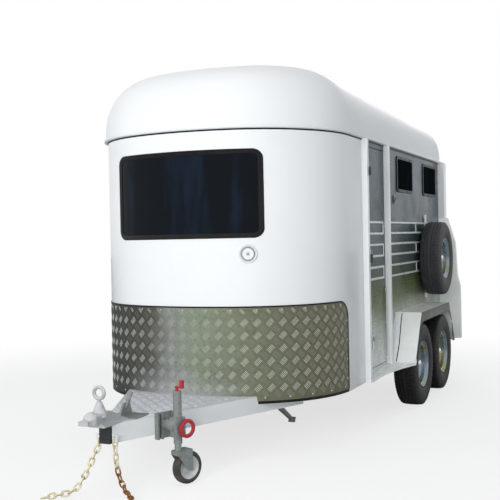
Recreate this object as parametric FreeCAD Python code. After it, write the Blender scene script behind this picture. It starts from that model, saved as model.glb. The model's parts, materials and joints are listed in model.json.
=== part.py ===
import FreeCAD, Part
import math
import os

# Two-horse straight-load trailer, tandem axle, parked on its jockey wheel.
# Millimetres. +X is the trailer's left side, -Y is forward, +Z is up, the ground is z = 0.
# Every y below is counted from the front of the nose; the finished part is moved along Y
# so that its origin lies on the ground under the middle of its length.

os.makedirs("parts", exist_ok=True)

V = FreeCAD.Vector
X_AXIS = V(1, 0, 0)
Y_AXIS = V(0, 1, 0)

# Body shell
body_half = 870.0
nose_corner_inset = 140.0
nose_centre_r = 1255.0
wall = 30.0
skirt_z = 325.0
gutter_z = 2055.0
body_end = 3750.0
panel_gap = 5.0

# Roof moulding
roof_height = 445.0
roof_crown = 30.0
roof_shoulder = 8.0
roof_side_inset = 370.0
roof_front_inset = 500.0
roof_rear_inset = 230.0
roof_crown_inset = 200.0
roof_rear_r = 150.0
roof_least_corner_r = 150.0
roof_skin = 6.0
roof_overhang = 18.0
roof_tail_drop = 0.09
roof_power = 2.25
rail_proud = 28.0
rail_height = 18.0

# Nose window, stone guard and vent
window_half = 519.0
window_low = 1358.0
window_high = 1911.0
window_r = 60.0
window_seal = 30.0
seal_proud = 7.0
glass_thick = 6.0
guard_low = 345.0
guard_high = 930.0
guard_back = 680.0
guard_r = 110.0
guard_thick = 3.0
vent_x = 425.0
vent_z = 1259.0
vent_r = 57.5
vent_proud = 14.0

# Posts and groom doors
post_wide = 40.0
post_proud = 40.0
front_post_y = 1060.0
second_post_y = 1633.0
rear_post_y = 3600.0
rear_post_wide = 100.0
rear_post_proud = 60.0
rear_post_low = 1510.0
door_low = 400.0
door_high = 1990.0
door_hinge_r = 8.0
hinge_leaf = 5.0
hinge_high = 60.0
hinge_from_edge = 180.0
rod_r = 6.0
rod_from_edge = 16.0
rod_high = 965.0

# Pressed ribs
rib_first_z = 1037.0
rib_step = 83.0
rib_count = 6
rib_wide = 22.0
rib_proud = 7.0
rib_join_y = 2630.0
rib_front_gap = 30.0
rib_back_gap = 120.0

# Side windows
side_window_low = 1700.0
side_window_high = 1990.0
side_window_r = 40.0
side_window_wide = 535.0
side_window_centres = (2281.0, 3206.0)
side_frame_wide = 24.0
side_frame_proud = 8.0
tie_y = 1930.0
tie_z = 1636.0
tie_plate_wide = 40.0
tie_plate_high = 72.0
tie_plate_thick = 6.0
tie_ring_r = 20.0
tie_wire_r = 4.0

# Floor and chassis
floor_thick = 25.0
rail_x = 560.0
rail_wide = 50.0
rail_high = 90.0
rail_front = 210.0
rail_foot_long = 140.0
cross_wide = 50.0
cross_high = 70.0
cross_places = (420.0, 1010.0, 1640.0, 2405.0, 3130.0, 3640.0)
wheel_slot_inset = 89.0
wheel_slot_end = 105.0
wheel_slot_below_floor = 5.0

# Drawbar
arm_angle = 23.5
arm_wide = 50.0
arm_low = 270.0
arm_high = 372.0
arm_front = -883.0
arm_nose_half = 34.0
arm_end = 470.0
nose_long = 24.0
deck_thick = 4.0
deck_front = -588.0
brace_y = -150.0
brace_wide = 60.0

# Coupling and handbrake
ball_y = -1031.0
ball_z = 427.0
ball_r = 25.5
socket_low = 400.0
socket_wall = 13.0
coupling_tip = -1100.0
coupling_back = -750.0
cone_y = -948.0
cone_top = 505.0
ring_z = 552.0
ring_r = 31.0
ring_wire = 10.0
brake_x = -20.0
brake_y = -665.0
brake_length = 100.0
brake_tilt = 55.0
brake_plate_half = 90.0

# Safety chains
chain_wire = 9.0
link_inner = 38.0
link_bore = 16.0
link_gap = 0.35
link_count = 13
lug_y = -876.0
lug_z = 300.0
lug_thick = 8.0
lug_hole_r = 11.0
lug_margin = 7.0

# Jockey wheel
jockey_y = -626.0
jockey_off = 135.0
jockey_pivot_z = 324.0
jockey_tube_r = 24.0
jockey_tube_low = 233.0
jockey_tube_high = 524.0
jockey_inner_r = 19.0
jockey_slip = 0.3
jockey_fork_z = 164.0
jockey_wheel_r = 92.0
jockey_wheel_wide = 56.0
jockey_trail = 60.0
jockey_boss_r = 32.0
crank_high = 586.0
clamp_hoop_r = 42.0
clamp_wire_r = 11.0

# Drop legs
leg_x = 480.0
leg_y = 390.0
leg_z = 262.0
leg_size = 25.0
leg_tip = 16.0
leg_long = 285.0
leg_tilt = 30.0

# Running gear
tyre_r = 325.0
tyre_wide = 185.0
rim_r = 178.0
tyre_behind_post = 47.0
tyre_gap = 120.0
axle_size = 60.0
axle_to_rail = 65.0
drum_r = 100.0
running_gap = 0.3
spring_wide = 60.0
spring_thick = 22.0

# Mudguards
guard_wide = 215.0
wheel_inset = 15.0
guard_sheet = 4.0
arch_clear = 20.0
guard_ahead = 44.0
guard_behind = 60.0
guard_front_run = 234.0
guard_rear_run = 240.0
guard_over_axle = 58.0
arch_over_tyre = 22.0
guard_over_arch = 73.0
arch_front_r = 280.0
arch_rear_r = 240.0
step_drop = 48.0
step_edge = ((1100.0, 42.0), (1250.0, 55.0), (1400.0, 88.0), (1540.0, 140.0))

# Spare wheel
spare_y = 2985.0
spare_over_guard = 68.0
channel_wide = 50.0
channel_deep = 15.0
channel_below_window = 200.0
channel_foot = 40.0
channel_head = 30.0
spare_stud_r = 60.0

# Rear end
frame_deep = 50.0
frame_wide = 80.0
header_low = 1995.0
ramp_gap = 5.0
ramp_thick = 35.0
ramp_inset = 20.0
ramp_low = 400.0
ramp_high = 1495.0
ramp_hinge_r = 10.0
ramp_hinge_places = (-600.0, -200.0, 200.0, 600.0)
hinge_play = 3.0
mat_thick = 6.0
mat_inset = 80.0
barn_low = 1505.0
barn_high = 1990.0
barn_thick = 30.0
wing_front = 3600.0
wing_profile = ((1508.0, 65.0), (1263.0, 138.0), (952.0, 151.0), (845.0, 178.0), (340.0, 179.0))
lamp_r = 40.0
lamp_deep = 18.0
lamp_out = 92.0
lamp_heights = (560.0, 660.0, 760.0)

# Inside
divider_half = 18.0
divider_front = 1250.0
divider_back = 3480.0
divider_low = 800.0
divider_high = 1650.0
divider_r = 120.0
chest_bar_z = 1250.0
chest_bar_r = 24.0
divider_header = 30.0
header_to_gutter = 90.0

# Heights over the axles, and lengths along the tandem, from the size of the tyres
axle_spacing = 2.0 * tyre_r + tyre_gap
tandem_y = second_post_y + post_wide + tyre_behind_post + tyre_r + axle_spacing / 2.0
rail_low = tyre_r + axle_to_rail
floor_z = rail_low + rail_high
cross_low = floor_z - cross_high
wheel_slot_high = floor_z - wheel_slot_below_floor
arch_top = 2.0 * tyre_r + arch_over_tyre
guard_top = arch_top + guard_over_arch
guard_bottom = tyre_r + guard_over_axle
guard_front_low = tandem_y - axle_spacing / 2.0 - tyre_r - guard_ahead
guard_front_high = guard_front_low + guard_front_run
guard_rear_low = tandem_y + axle_spacing / 2.0 + tyre_r + guard_behind
guard_rear_high = guard_rear_low - guard_rear_run
wheel_slot_front = guard_front_low + wheel_slot_inset
wheel_slot_back = guard_rear_low - wheel_slot_end
step_low = guard_bottom - step_drop
spare_z = guard_top + spare_over_guard + tyre_r
channel_high = side_window_low - channel_below_window

# Widths from the body's half width
nose_corner_r = body_half - nose_corner_inset
guard_out = body_half + guard_wide
wheel_x = guard_out - wheel_inset - tyre_wide / 2.0
ramp_half = body_half - ramp_inset
mat_half = ramp_half - mat_inset
lamp_x = body_half + lamp_out
door_front = front_post_y + post_wide
door_back = second_post_y
rear_end = body_end + ramp_gap + ramp_thick
mid_y = (coupling_tip + rear_end) / 2.0


def box(x0, x1, y0, y1, z0, z1):
    return Part.makeBox(x1 - x0, y1 - y0, z1 - z0, V(x0, y0, z0))


def prism(points, direction):
    """A solid with straight sides on a closed outline of points."""
    wire = Part.makePolygon(list(points) + [points[0]])
    return Part.Face(wire).extrude(direction)


def rounded(points, radii):
    """A closed wire through the corners, each corner rounded by its own radius."""
    edges = []
    ends = []
    count = len(points)
    for i, corner in enumerate(points):
        before = (points[i - 1] - corner).normalize()
        after = (points[(i + 1) % count] - corner).normalize()
        r = radii[i]
        half = before.getAngle(after) / 2.0
        reach = r / math.tan(half)
        start = corner + before * reach
        end = corner + after * reach
        middle = corner + (before + after).normalize() * (r / math.sin(half) - r)
        ends.append((start, end))
        if r > 0:
            edges.append(Part.Arc(start, middle, end).toShape())
        nxt = points[(i + 1) % count]
        far = (corner - nxt).normalize()
        onward = (points[(i + 2) % count] - nxt).normalize()
        cut = radii[(i + 1) % count] / math.tan(far.getAngle(onward) / 2.0)
        edges.append(Part.LineSegment(end, nxt + far * cut).toShape())
    return Part.Wire(edges)


def slab(points, radii, direction):
    """A solid on an outline with rounded corners."""
    return Part.Face(rounded(points, radii)).extrude(direction)


def ring_slab(outer, inner, direction):
    """A frame between two closed wires."""
    return Part.Face(outer).extrude(direction).cut(Part.Face(inner).extrude(direction))


def rect_xz(x0, x1, z0, z1, y):
    return [V(x0, y, z0), V(x1, y, z0), V(x1, y, z1), V(x0, y, z1)]


def rect_yz(y0, y1, z0, z1, x):
    return [V(x, y0, z0), V(x, y1, z0), V(x, y1, z1), V(x, y0, z1)]


def ring_of(ring_radius, wire_radius, centre, axis):
    """A ring of eight-sided wire."""
    side = V(0, 0, 1)
    points = []
    for i in range(8):
        turn = math.pi * (i + 0.5) / 4.0
        out = side * (ring_radius + wire_radius * math.cos(turn))
        points.append(centre + out + axis * (wire_radius * math.sin(turn)))
    face = Part.Face(Part.makePolygon(points + [points[0]]))
    return face.revolve(centre, axis, 360)


def mirrored(shape):
    return shape.mirror(V(0, 0, 0), X_AXIS)


def pair(shape):
    return [shape, mirrored(shape)]


def fused(shapes):
    first = shapes[0]
    if len(shapes) == 1:
        return first
    return first.multiFuse(shapes[1:]).removeSplitter()


def export(name, shapes):
    solids = []
    for shape in shapes:
        solids += shape.Solids
    whole = Part.makeCompound(solids) if len(solids) > 1 else solids[0].copy()
    whole.translate(V(0, -mid_y, 0))
    whole.exportStep("parts/" + name + ".step")


def outline(half, corner_r, centre_r, front_y, end_y, rear_r, z):
    """Plan of the body: straight sides, a round nose of three arcs and a square or rounded tail."""
    lean = (half - corner_r) / (centre_r - corner_r)
    rise = math.sqrt(1.0 - lean * lean)
    corner = V((centre_r - corner_r) * lean, front_y + centre_r - (centre_r - corner_r) * rise, z)
    centre = V(0, front_y + centre_r, z)
    join = centre + V(lean, -rise, 0) * centre_r
    turn = (math.asin(lean) + math.pi / 2.0) / 2.0
    middle = corner + V(math.sin(turn), -math.cos(turn), 0) * corner_r
    side = V(half, corner.y, z)
    tail = V(half, end_y - rear_r, z)

    def other(point):
        return V(-point.x, point.y, point.z)

    edges = [
        Part.LineSegment(tail, side).toShape(),
        Part.Arc(side, middle, join).toShape(),
        Part.Arc(join, V(0, front_y, z), other(join)).toShape(),
        Part.Arc(other(join), other(middle), other(side)).toShape(),
        Part.LineSegment(other(side), other(tail)).toShape(),
    ]
    back = V(half - rear_r, end_y, z)
    if rear_r > 0:
        bend = V(half - rear_r * (1 - math.sqrt(0.5)), end_y - rear_r * (1 - math.sqrt(0.5)), z)
        edges.append(Part.Arc(other(tail), other(bend), other(back)).toShape())
    edges.append(Part.LineSegment(other(back), back).toShape())
    if rear_r > 0:
        edges.append(Part.Arc(back, bend, tail).toShape())
    return Part.Wire(edges)


def body_wire(out, z, end_y=body_end):
    """Plan of the body moved outwards by out."""
    return outline(body_half + out, nose_corner_r + out, nose_centre_r + out, -out, end_y, 0, z)


def body_block(out, z0, z1, end_y=body_end):
    return Part.Face(body_wire(out, z0, end_y)).extrude(V(0, 0, z1 - z0))


def nose_skin(out, inn, z0, z1):
    """A sheet that follows the body's plan round the nose, back to the groom doors."""
    inner = body_block(inn, z0 - 1, z1 + 1, door_front + 100)
    return body_block(out, z0, z1, door_front).cut(inner)


def nose_place(x):
    """The point of the nose's plan at one x, and the way the nose faces there."""
    reach = nose_centre_r - nose_corner_r
    lean = (body_half - nose_corner_r) / reach
    centre = V(0, nose_centre_r, 0)
    r = nose_centre_r
    if x > lean * nose_centre_r:
        centre = V(reach * lean, nose_centre_r - reach * math.sqrt(1.0 - lean * lean), 0)
        r = nose_corner_r
    point = V(x, centre.y - math.sqrt(r * r - (x - centre.x) ** 2), 0)
    return point, (point - centre).normalize()


def arm_outer_x(y):
    return arm_nose_half + (y - arm_front) * math.tan(math.radians(arm_angle))


# Nose panel, window, seal, guard and vent
notch = prism(
    [
        V(-arm_outer_x(arm_front) - 2, arm_front, arm_low - 50),
        V(arm_outer_x(arm_front) + 2, arm_front, arm_low - 50),
        V(arm_outer_x(arm_end) + 2, arm_end, arm_low - 50),
        V(-arm_outer_x(arm_end) - 2, arm_end, arm_low - 50),
    ],
    V(0, 0, arm_high - arm_low + 50),
)
window_reach = 450.0
pane_inset = window_seal / 2.0


def nose_window_wire(inset):
    corners = rect_xz(
        -window_half + inset, window_half - inset, window_low + inset, window_high - inset, -50
    )
    return rounded(corners, [window_r - inset] * 4)


def nose_window_block(inset):
    return Part.Face(nose_window_wire(inset)).extrude(V(0, window_reach, 0))


nose_panel = nose_skin(0, -wall, skirt_z, gutter_z)
nose_panel = nose_panel.cut(notch).cut(nose_window_block(pane_inset))
front_window = nose_skin(0, -glass_thick, window_low, window_high).common(
    nose_window_block(pane_inset)
)
seal_ring = ring_slab(nose_window_wire(0), nose_window_wire(window_seal), V(0, window_reach, 0))
front_window_seal = nose_skin(seal_proud, 0, window_low, window_high).common(seal_ring)
guard_side = slab(
    rect_yz(-100, guard_back, guard_low, guard_high, -body_half - 50),
    [0, 0, guard_r, 0],
    V(2 * body_half + 100, 0, 0),
)
stone_guard = nose_skin(guard_thick, 0, guard_low, guard_high).common(guard_side).cut(notch)

vent_point, vent_normal = nose_place(vent_x)
vent_point.z = vent_z
vent_disc = Part.makeCylinder(vent_r, vent_proud + 4, vent_point - vent_normal * 10, vent_normal)
vent_cap = Part.makeCone(
    vent_r * 0.66, vent_r * 0.56, 6, vent_point + vent_normal * (vent_proud - 6), vent_normal
)
round_vent = fused([vent_disc, vent_cap]).cut(
    body_block(0, vent_z - 2.0 * vent_r, vent_z + 2.0 * vent_r)
)

export("nose_panel", [nose_panel])
export("front_window", [front_window])
export("front_window_seal", [front_window_seal])
export("stone_guard", [stone_guard])
export("round_vent", [round_vent])


# Side walls, ribs, posts and windows
def rib(y0, y1, z):
    """A pressed rib: a low trapezoid bar with sloping ends."""
    half = rib_wide / 2.0
    base = rect_yz(y0, y1, z - half, z + half, body_half)
    top = rect_yz(
        y0 + rib_proud, y1 - rib_proud, z - half + rib_proud, z + half - rib_proud, body_half + rib_proud
    )
    wires = [Part.makePolygon(points + [points[0]]) for points in (base, top)]
    return Part.makeLoft(wires, True, True)


def rib_upright(y, z0, z1):
    """A short upright rib that joins two level ones."""
    base = rect_yz(y, y + rib_wide, z0, z1, body_half)
    top = rect_yz(y + rib_proud, y + rib_wide - rib_proud, z0, z1, body_half + rib_proud)
    wires = [Part.makePolygon(points + [points[0]]) for points in (base, top)]
    return Part.makeLoft(wires, True, True)


def rib_set(y0, y1, join_y):
    levels = [rib_first_z + i * rib_step for i in range(rib_count)]
    ribs = [rib(y0, y1, z) for z in levels]
    ribs += [rib_upright(join_y, low, high) for low, high in zip(levels[0::2], levels[1::2])]
    return ribs


def side_window_wire(centre, inset, x):
    half = side_window_wide / 2.0 - inset
    corners = rect_yz(
        centre - half, centre + half, side_window_low + inset, side_window_high - inset, x
    )
    return rounded(corners, [side_window_r - inset] * 4)


frame_front = body_end - frame_deep
side_wall = box(body_half - wall, body_half, door_front, frame_front, skirt_z, gutter_z)
side_wall = side_wall.cut(
    box(body_half - wall - 1, body_half + 1, door_front - 1, door_back,
        door_low - panel_gap, door_high + panel_gap)
)
wheel_slot = prism(
    [
        V(body_half - wall - 1, wheel_slot_front, skirt_z - 1),
        V(body_half - wall - 1, wheel_slot_back, skirt_z - 1),
        V(body_half - wall - 1, wheel_slot_back - 60, wheel_slot_high),
        V(body_half - wall - 1, wheel_slot_front + 60, wheel_slot_high),
    ],
    V(wall + 2, 0, 0),
)
side_wall = side_wall.cut(wheel_slot)
side_panes = []
side_frames = []
for centre in side_window_centres:
    inner_x = body_half - wall - 1
    hole = Part.Face(side_window_wire(centre, side_frame_wide / 2.0, inner_x))
    side_wall = side_wall.cut(hole.extrude(V(wall + 2, 0, 0)))
    pane = Part.Face(side_window_wire(centre, side_frame_wide / 2.0, body_half - glass_thick))
    side_panes += pair(pane.extrude(V(glass_thick, 0, 0)))
    frame_ring = ring_slab(
        side_window_wire(centre, 0, body_half),
        side_window_wire(centre, side_frame_wide, body_half),
        V(side_frame_proud, 0, 0),
    )
    side_frames += pair(frame_ring)
wall_ribs = rib_set(second_post_y + post_wide + rib_front_gap, rear_post_y - rib_back_gap, rib_join_y)
side_wall = fused([side_wall] + wall_ribs)

post_top = gutter_z - rail_height
posts = [
    box(body_half, body_half + post_proud, y, y + post_wide, skirt_z, post_top)
    for y in (front_post_y, second_post_y)
]
hinge_x = body_half + post_proud + door_hinge_r
hinge_y = door_front + door_hinge_r
hinge_heights = (door_low + hinge_from_edge, (door_low + door_high) / 2.0, door_high - hinge_from_edge)


def post_knuckle(z):
    """The fixed half of a hinge, above the door's half."""
    low = z + hinge_high / 2.0 + 0.5
    pin = Part.makeCylinder(door_hinge_r, hinge_high / 2.0, V(hinge_x, hinge_y, low))
    web = box(body_half + post_proud - 12, hinge_x, door_front, hinge_y, low, low + hinge_high / 2.0)
    return [pin, web]


front_post = [posts[0]]
for z in hinge_heights:
    front_post += post_knuckle(z)
rear_post = box(
    body_half, body_half + rear_post_proud, rear_post_y, rear_post_y + rear_post_wide,
    rear_post_low, post_top
)
side_posts = pair(fused(front_post)) + pair(posts[1]) + pair(rear_post)

tie_plate = box(body_half, body_half + tie_plate_thick, tie_y - tie_plate_wide / 2.0,
                tie_y + tie_plate_wide / 2.0, tie_z - tie_plate_high / 2.0, tie_z + tie_plate_high / 2.0)
tie_centre = V(body_half + tie_plate_thick + tie_wire_r - 1, tie_y, tie_z)
tie_ring = ring_of(tie_ring_r, tie_wire_r, tie_centre, X_AXIS)
tie_rings = pair(fused([tie_plate, tie_ring]))

export("side_wall_left", [side_wall])
export("side_wall_right", [mirrored(side_wall)])
export("side_windows", side_panes)
export("side_window_frames", side_frames)
export("side_posts", side_posts)
export("tie_rings", tie_rings)

# Groom doors, hinged on the front posts
door_y0 = door_front + panel_gap
door_y1 = door_back - panel_gap
door = [box(body_half - wall, body_half, door_y0, door_y1, door_low, door_high)]
door += rib_set(door_y0 + 70, door_y1 - 40, door_y1 - 40 - rib_wide)
for z in hinge_heights:
    low = z - hinge_high / 2.0
    door.append(box(body_half, body_half + hinge_leaf, hinge_y, hinge_y + 70, low, low + hinge_high))
    door.append(box(body_half, hinge_x, hinge_y, hinge_y + door_hinge_r, low, low + hinge_high))
    door.append(Part.makeCylinder(door_hinge_r, hinge_high, V(hinge_x, hinge_y, low)))
rod_x = body_half + 18
rod_y = door_y1 - rod_from_edge
rod_low = door_low + 10
door.append(Part.makeCylinder(rod_r, rod_high - rod_low, V(rod_x, rod_y, rod_low)))
for z in (rod_low + 10, (rod_low + rod_high) / 2.0, rod_high - 30):
    door.append(box(body_half, rod_x, rod_y - 5, rod_y + 5, z, z + 20))
groom_door = fused(door)
export("groom_door_left", [groom_door])
export("groom_door_right", [mirrored(groom_door)])


# Roof moulding and drip rail
def roof_section(share, skin):
    """One level of the roof. share runs from 0 at the drip rail to 1 at the top edge."""
    angle = share * math.pi / 2.0
    up = math.sin(angle) ** (2.0 / roof_power) if share > 0 else 0.0
    inward = 1.0 - (math.cos(angle) ** (2.0 / roof_power) if share < 1 else 0.0)
    return roof_level(up * roof_height, inward, 0.0, skin)


def roof_level(height, inward, extra, skin):
    side = roof_side_inset * inward + extra
    front = roof_front_inset * inward + extra
    rear = roof_rear_inset * inward + extra
    half = body_half + roof_overhang - side - skin
    corner_r = max(nose_corner_r + roof_overhang - (side + front) / 2.0 - skin, roof_least_corner_r)
    z = gutter_z + (height - skin if height > 0 else 0.0)
    wire = outline(
        half, corner_r, nose_centre_r, front - roof_overhang + skin,
        body_end + roof_overhang - rear - skin, roof_rear_r - skin, z
    )
    drop = math.degrees(math.atan(roof_tail_drop * height / body_end))
    wire.rotate(V(0, 0, z), X_AXIS, -drop)
    return wire


def roof_block(skin):
    levels = [roof_section(share, skin) for share in (0.0, 0.22, 0.45, 0.68, 0.86)]
    levels.append(roof_level(roof_height + roof_shoulder, 1.0, 0.0, skin))
    levels.append(roof_level(roof_height + roof_crown, 1.0, roof_crown_inset, skin))
    return Part.makeLoft(levels, True, False)


roof = roof_block(0.0).cut(roof_block(roof_skin))
gutter_rail = body_block(rail_proud, gutter_z - rail_height, gutter_z, body_end + rail_proud).cut(
    body_block(0, gutter_z - rail_height - 1, gutter_z + 1)
)
export("roof", [roof])
export("gutter_rail", [gutter_rail])

# Floor, chassis rails and cross members
door_recess = [
    box(side * (body_half + 20) if side < 0 else body_half - wall - panel_gap,
        -(body_half - wall - panel_gap) if side < 0 else body_half + 20,
        door_front - panel_gap, door_back + panel_gap, rail_low - 10, door_high)
    for side in (1, -1)
]
inside = body_block(-wall, rail_low - 10, gutter_z, frame_front)
floor = body_block(-wall, floor_z, floor_z + floor_thick, frame_front).cut(door_recess)
rail = box(rail_x - rail_wide / 2.0, rail_x + rail_wide / 2.0, rail_front, frame_front, rail_low, floor_z)
rail = rail.common(inside)
cross_members = []
for y in cross_places:
    near = rail_x - rail_wide / 2.0
    far = rail_x + rail_wide / 2.0
    cross_members.append(box(-near, near, y, y + cross_wide, cross_low, floor_z))
    outrigger = box(far, body_half, y, y + cross_wide, cross_low, floor_z).common(inside)
    cross_members += pair(outrigger.cut(door_recess[0]))
export("floor", [floor])
rail_foot = box(rail_x - rail_wide / 2.0, rail_x + rail_wide / 2.0, arm_end - rail_foot_long, arm_end,
                arm_high, rail_low)
export("chassis_rails", pair(fused([rail, rail_foot])))
export("cross_members", cross_members)

# Drawbar arms, nose, brace and deck plate
arm_step = arm_wide / math.cos(math.radians(arm_angle))


def arm_corner(y, inward, z):
    return V(arm_outer_x(y) - inward, y, z)


arm = prism(
    [
        arm_corner(arm_front, 0, arm_low),
        arm_corner(arm_end, 0, arm_low),
        arm_corner(arm_end, arm_step, arm_low),
        arm_corner(arm_front, arm_step, arm_low),
    ],
    V(0, 0, arm_high - arm_low),
)
arm_dir = V(math.sin(math.radians(arm_angle)), math.cos(math.radians(arm_angle)), 0)
arm_normal = V(arm_dir.y, -arm_dir.x, 0)


def on_arm(shape, point):
    """Turns a shape to the left arm's own directions: out from its outer face, along it, up."""
    matrix = FreeCAD.Matrix(
        arm_normal.x, arm_dir.x, 0, point.x, arm_normal.y, arm_dir.y, 0, point.y,
        0, 0, 1, 0, 0, 0, 0, 1
    )
    return shape.transformGeometry(matrix)


lug_half = lug_hole_r + lug_margin
lug_out = arm_wide * 0.3
lug_point = arm_corner(lug_y, 0, 0)
lug = box(-1, lug_out + lug_half, -lug_thick / 2.0, lug_thick / 2.0, lug_z - lug_half, lug_z + lug_half)
lug = lug.cut(Part.makeCylinder(lug_hole_r, lug_thick + 2, V(lug_out, -lug_thick / 2.0 - 1, lug_z), Y_AXIS))
arm = fused([arm, on_arm(lug, lug_point)])
nose_block = box(-arm_nose_half, arm_nose_half, arm_front - nose_long, arm_front, arm_low, arm_high)
brace = prism(
    [
        arm_corner(brace_y, arm_step, arm_low + 20),
        arm_corner(brace_y + brace_wide, arm_step, arm_low + 20),
        V(-arm_outer_x(brace_y + brace_wide) + arm_step, brace_y + brace_wide, arm_low + 20),
        V(-arm_outer_x(brace_y) + arm_step, brace_y, arm_low + 20),
    ],
    V(0, 0, arm_high - arm_low - 20),
)
deck = prism(
    [
        V(-arm_outer_x(deck_front), deck_front, arm_high),
        V(arm_outer_x(deck_front), deck_front, arm_high),
        V(arm_outer_x(arm_end), arm_end, arm_high),
        V(-arm_outer_x(arm_end), arm_end, arm_high),
    ],
    V(0, 0, deck_thick),
).cut(body_block(guard_thick, arm_low, arm_high + 50))
export("drawbar_arms", pair(arm))
export("drawbar_nose", [nose_block])
export("drawbar_brace", [brace])
export("deck_plate", [deck])

# Coupling: socket, neck, foot, cone and lever
dome_r = ball_r + socket_wall
dome = Part.makeSphere(dome_r, V(0, ball_y, ball_z))
skirt = Part.makeCylinder(dome_r, ball_z - socket_low, V(0, ball_y, socket_low))
lip = box(-30, 30, coupling_tip, ball_y, socket_low + 4, socket_low + 28)
neck = box(-34, 34, ball_y, cone_y + 40, socket_low + 2, ball_z + 22)
foot = box(-50, 50, cone_y - 30, coupling_back, arm_high, arm_high + 14)
spine = prism(
    [
        V(-34, cone_y - 30, arm_high + 14),
        V(-34, coupling_back, arm_high + 14),
        V(-34, cone_y + 60, ball_z + 22),
        V(-34, cone_y - 30, ball_z + 22),
    ],
    V(68, 0, 0),
)
cone = Part.makeCone(46, 15, cone_top - ball_z, V(0, cone_y, ball_z))
socket = Part.makeCylinder(ball_r, ball_z - socket_low + 20, V(0, ball_y, socket_low - 20))
socket = socket.fuse(Part.makeSphere(ball_r, V(0, ball_y, ball_z)))
below = box(-60, 60, coupling_tip - 10, ball_y + 80, arm_low, socket_low)
coupling_head = fused([dome.cut(below), skirt, lip, neck, foot, spine, cone]).cut(socket)
lever_ring = ring_of(ring_r, ring_wire, V(0, cone_y, ring_z), Y_AXIS)
lever_stem = Part.makeCylinder(9, ring_z - ring_r - cone_top, V(0, cone_y, cone_top))
coupling_lever = fused([lever_ring, lever_stem])
export("coupling_head", [coupling_head])
export("coupling_lever", [coupling_lever])

# Handbrake on the drawbar, behind the coupling
brake_plate_top = arm_high + 8
quadrant = prism(
    [
        V(brake_x - 6, brake_y - 60, brake_plate_top),
        V(brake_x - 6, brake_y + 65, brake_plate_top),
        V(brake_x - 6, brake_y + 45, arm_high + 75),
        V(brake_x - 6, brake_y - 20, arm_high + 75),
    ],
    V(12, 0, 0),
)
brake_plate = box(-brake_plate_half, brake_plate_half, brake_y - 65, brake_y + 75, arm_high, brake_plate_top)
brake_reach = V(0, math.cos(math.radians(brake_tilt)), math.sin(math.radians(brake_tilt)))
brake_pivot = V(brake_x + 4, brake_y, arm_high + 45)
brake_bar = Part.makeCylinder(9, brake_length, brake_pivot, brake_reach)
brake_grip = Part.makeCylinder(13, 55, brake_pivot + brake_reach * (brake_length - 55), brake_reach)
export("handbrake", [fused([brake_plate, quadrant, brake_bar, brake_grip])])


# Safety chains
def link_solid():
    """One link lying along X: a six-sided ring of square wire."""
    out_x = link_inner / 2.0 + chain_wire
    out_y = link_bore / 2.0 + chain_wire
    slope = out_x - 14
    outer = [V(out_x, -8, 0), V(out_x, 8, 0), V(slope, out_y, 0), V(-slope, out_y, 0),
             V(-out_x, 8, 0), V(-out_x, -8, 0), V(-slope, -out_y, 0), V(slope, -out_y, 0)]
    inn_x = link_inner / 2.0
    inn_y = link_bore / 2.0
    inner = [V(inn_x, -inn_y, 0), V(inn_x, inn_y, 0), V(-inn_x, inn_y, 0), V(-inn_x, -inn_y, 0)]
    wires = [Part.makePolygon(points + [points[0]]) for points in (outer, inner)]
    solid = ring_slab(wires[0], wires[1], V(0, 0, chain_wire))
    solid.translate(V(0, 0, -chain_wire / 2.0))
    return solid


def along(points, distance):
    """The point at a distance along a run of straight stretches, carried on past its end."""
    for start, end in zip(points, points[1:]):
        length = start.distanceToPoint(end)
        if distance <= length or end is points[-1]:
            return start + (end - start) * (distance / length)
        distance -= length


def next_joint(points, travelled, here, reach):
    """Walks on along the route until it is reach away in a straight line."""
    low, high = travelled, travelled + reach * 3
    for _ in range(40):
        middle = (low + high) / 2.0
        if along(points, middle).distanceToPoint(here) < reach:
            low = middle
        else:
            high = middle
    return high


def chain(points, count, across):
    """Links in a row along a route, each turned a quarter from the one before."""
    gaps = [link_gap] * (count + 1)
    for _ in range(4):
        joints = [points[0]]
        travelled = 0.0
        for i in range(count):
            reach = link_inner - (gaps[i] + gaps[i + 1]) / 2.0
            travelled = next_joint(points, travelled, joints[-1], reach)
            joints.append(along(points, travelled))
        axes = [(b - a).normalize() for a, b in zip(joints, joints[1:])]
        for i in range(1, count):
            bend = axes[i - 1].getAngle(axes[i])
            gaps[i] = link_gap + chain_wire * 0.3 * math.sin(bend)
    links = []
    for i, axis in enumerate(axes):
        across = (across - axis * across.dot(axis)).normalize()
        wide = across if i % 2 == 0 else axis.cross(across)
        face = axis.cross(wide)
        middle = (joints[i] + joints[i + 1]) * 0.5
        matrix = FreeCAD.Matrix(
            axis.x, wide.x, face.x, middle.x, axis.y, wide.y, face.y, middle.y,
            axis.z, wide.z, face.z, middle.z, 0, 0, 0, 1
        )
        links.append(link_solid().transformGeometry(matrix))
    return links


chain_start = lug_point + arm_normal * lug_out
chain_start.z = lug_z - lug_hole_r + 1.3
ground_z = link_bore / 2.0 + chain_wire + 3.0
lying = chain_start.z - ground_z
# Each route lists steps from the lug: sideways, back and down
steps_left = (
    (0, 0, 0), (-1, 0, 62), (5, 0, 123), (17, 0, 182), (33, 4, 230),
    (81, -33, lying - 10), (156, -98, lying), (197, -183, lying), (230, -300, lying),
)
steps_right = (
    (0, 0, 0), (-2, -1, 40), (-24, -22, 95), (-42, -48, 160), (-50, -84, 200), (-61, -113, 235),
    (-83, -140, lying - 8), (-142, -166, lying), (-175, -225, lying), (-230, -330, lying),
)
far_start = V(-chain_start.x, chain_start.y, chain_start.z)
route_left = [chain_start + V(x, y, -down) for x, y, down in steps_left]
route_right = [far_start + V(x, y, -down) for x, y, down in steps_right]
export("safety_chain_left", chain(route_left, link_count, arm_dir))
export("safety_chain_right", chain(route_right, link_count, V(-arm_dir.x, arm_dir.y, 0)))

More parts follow.
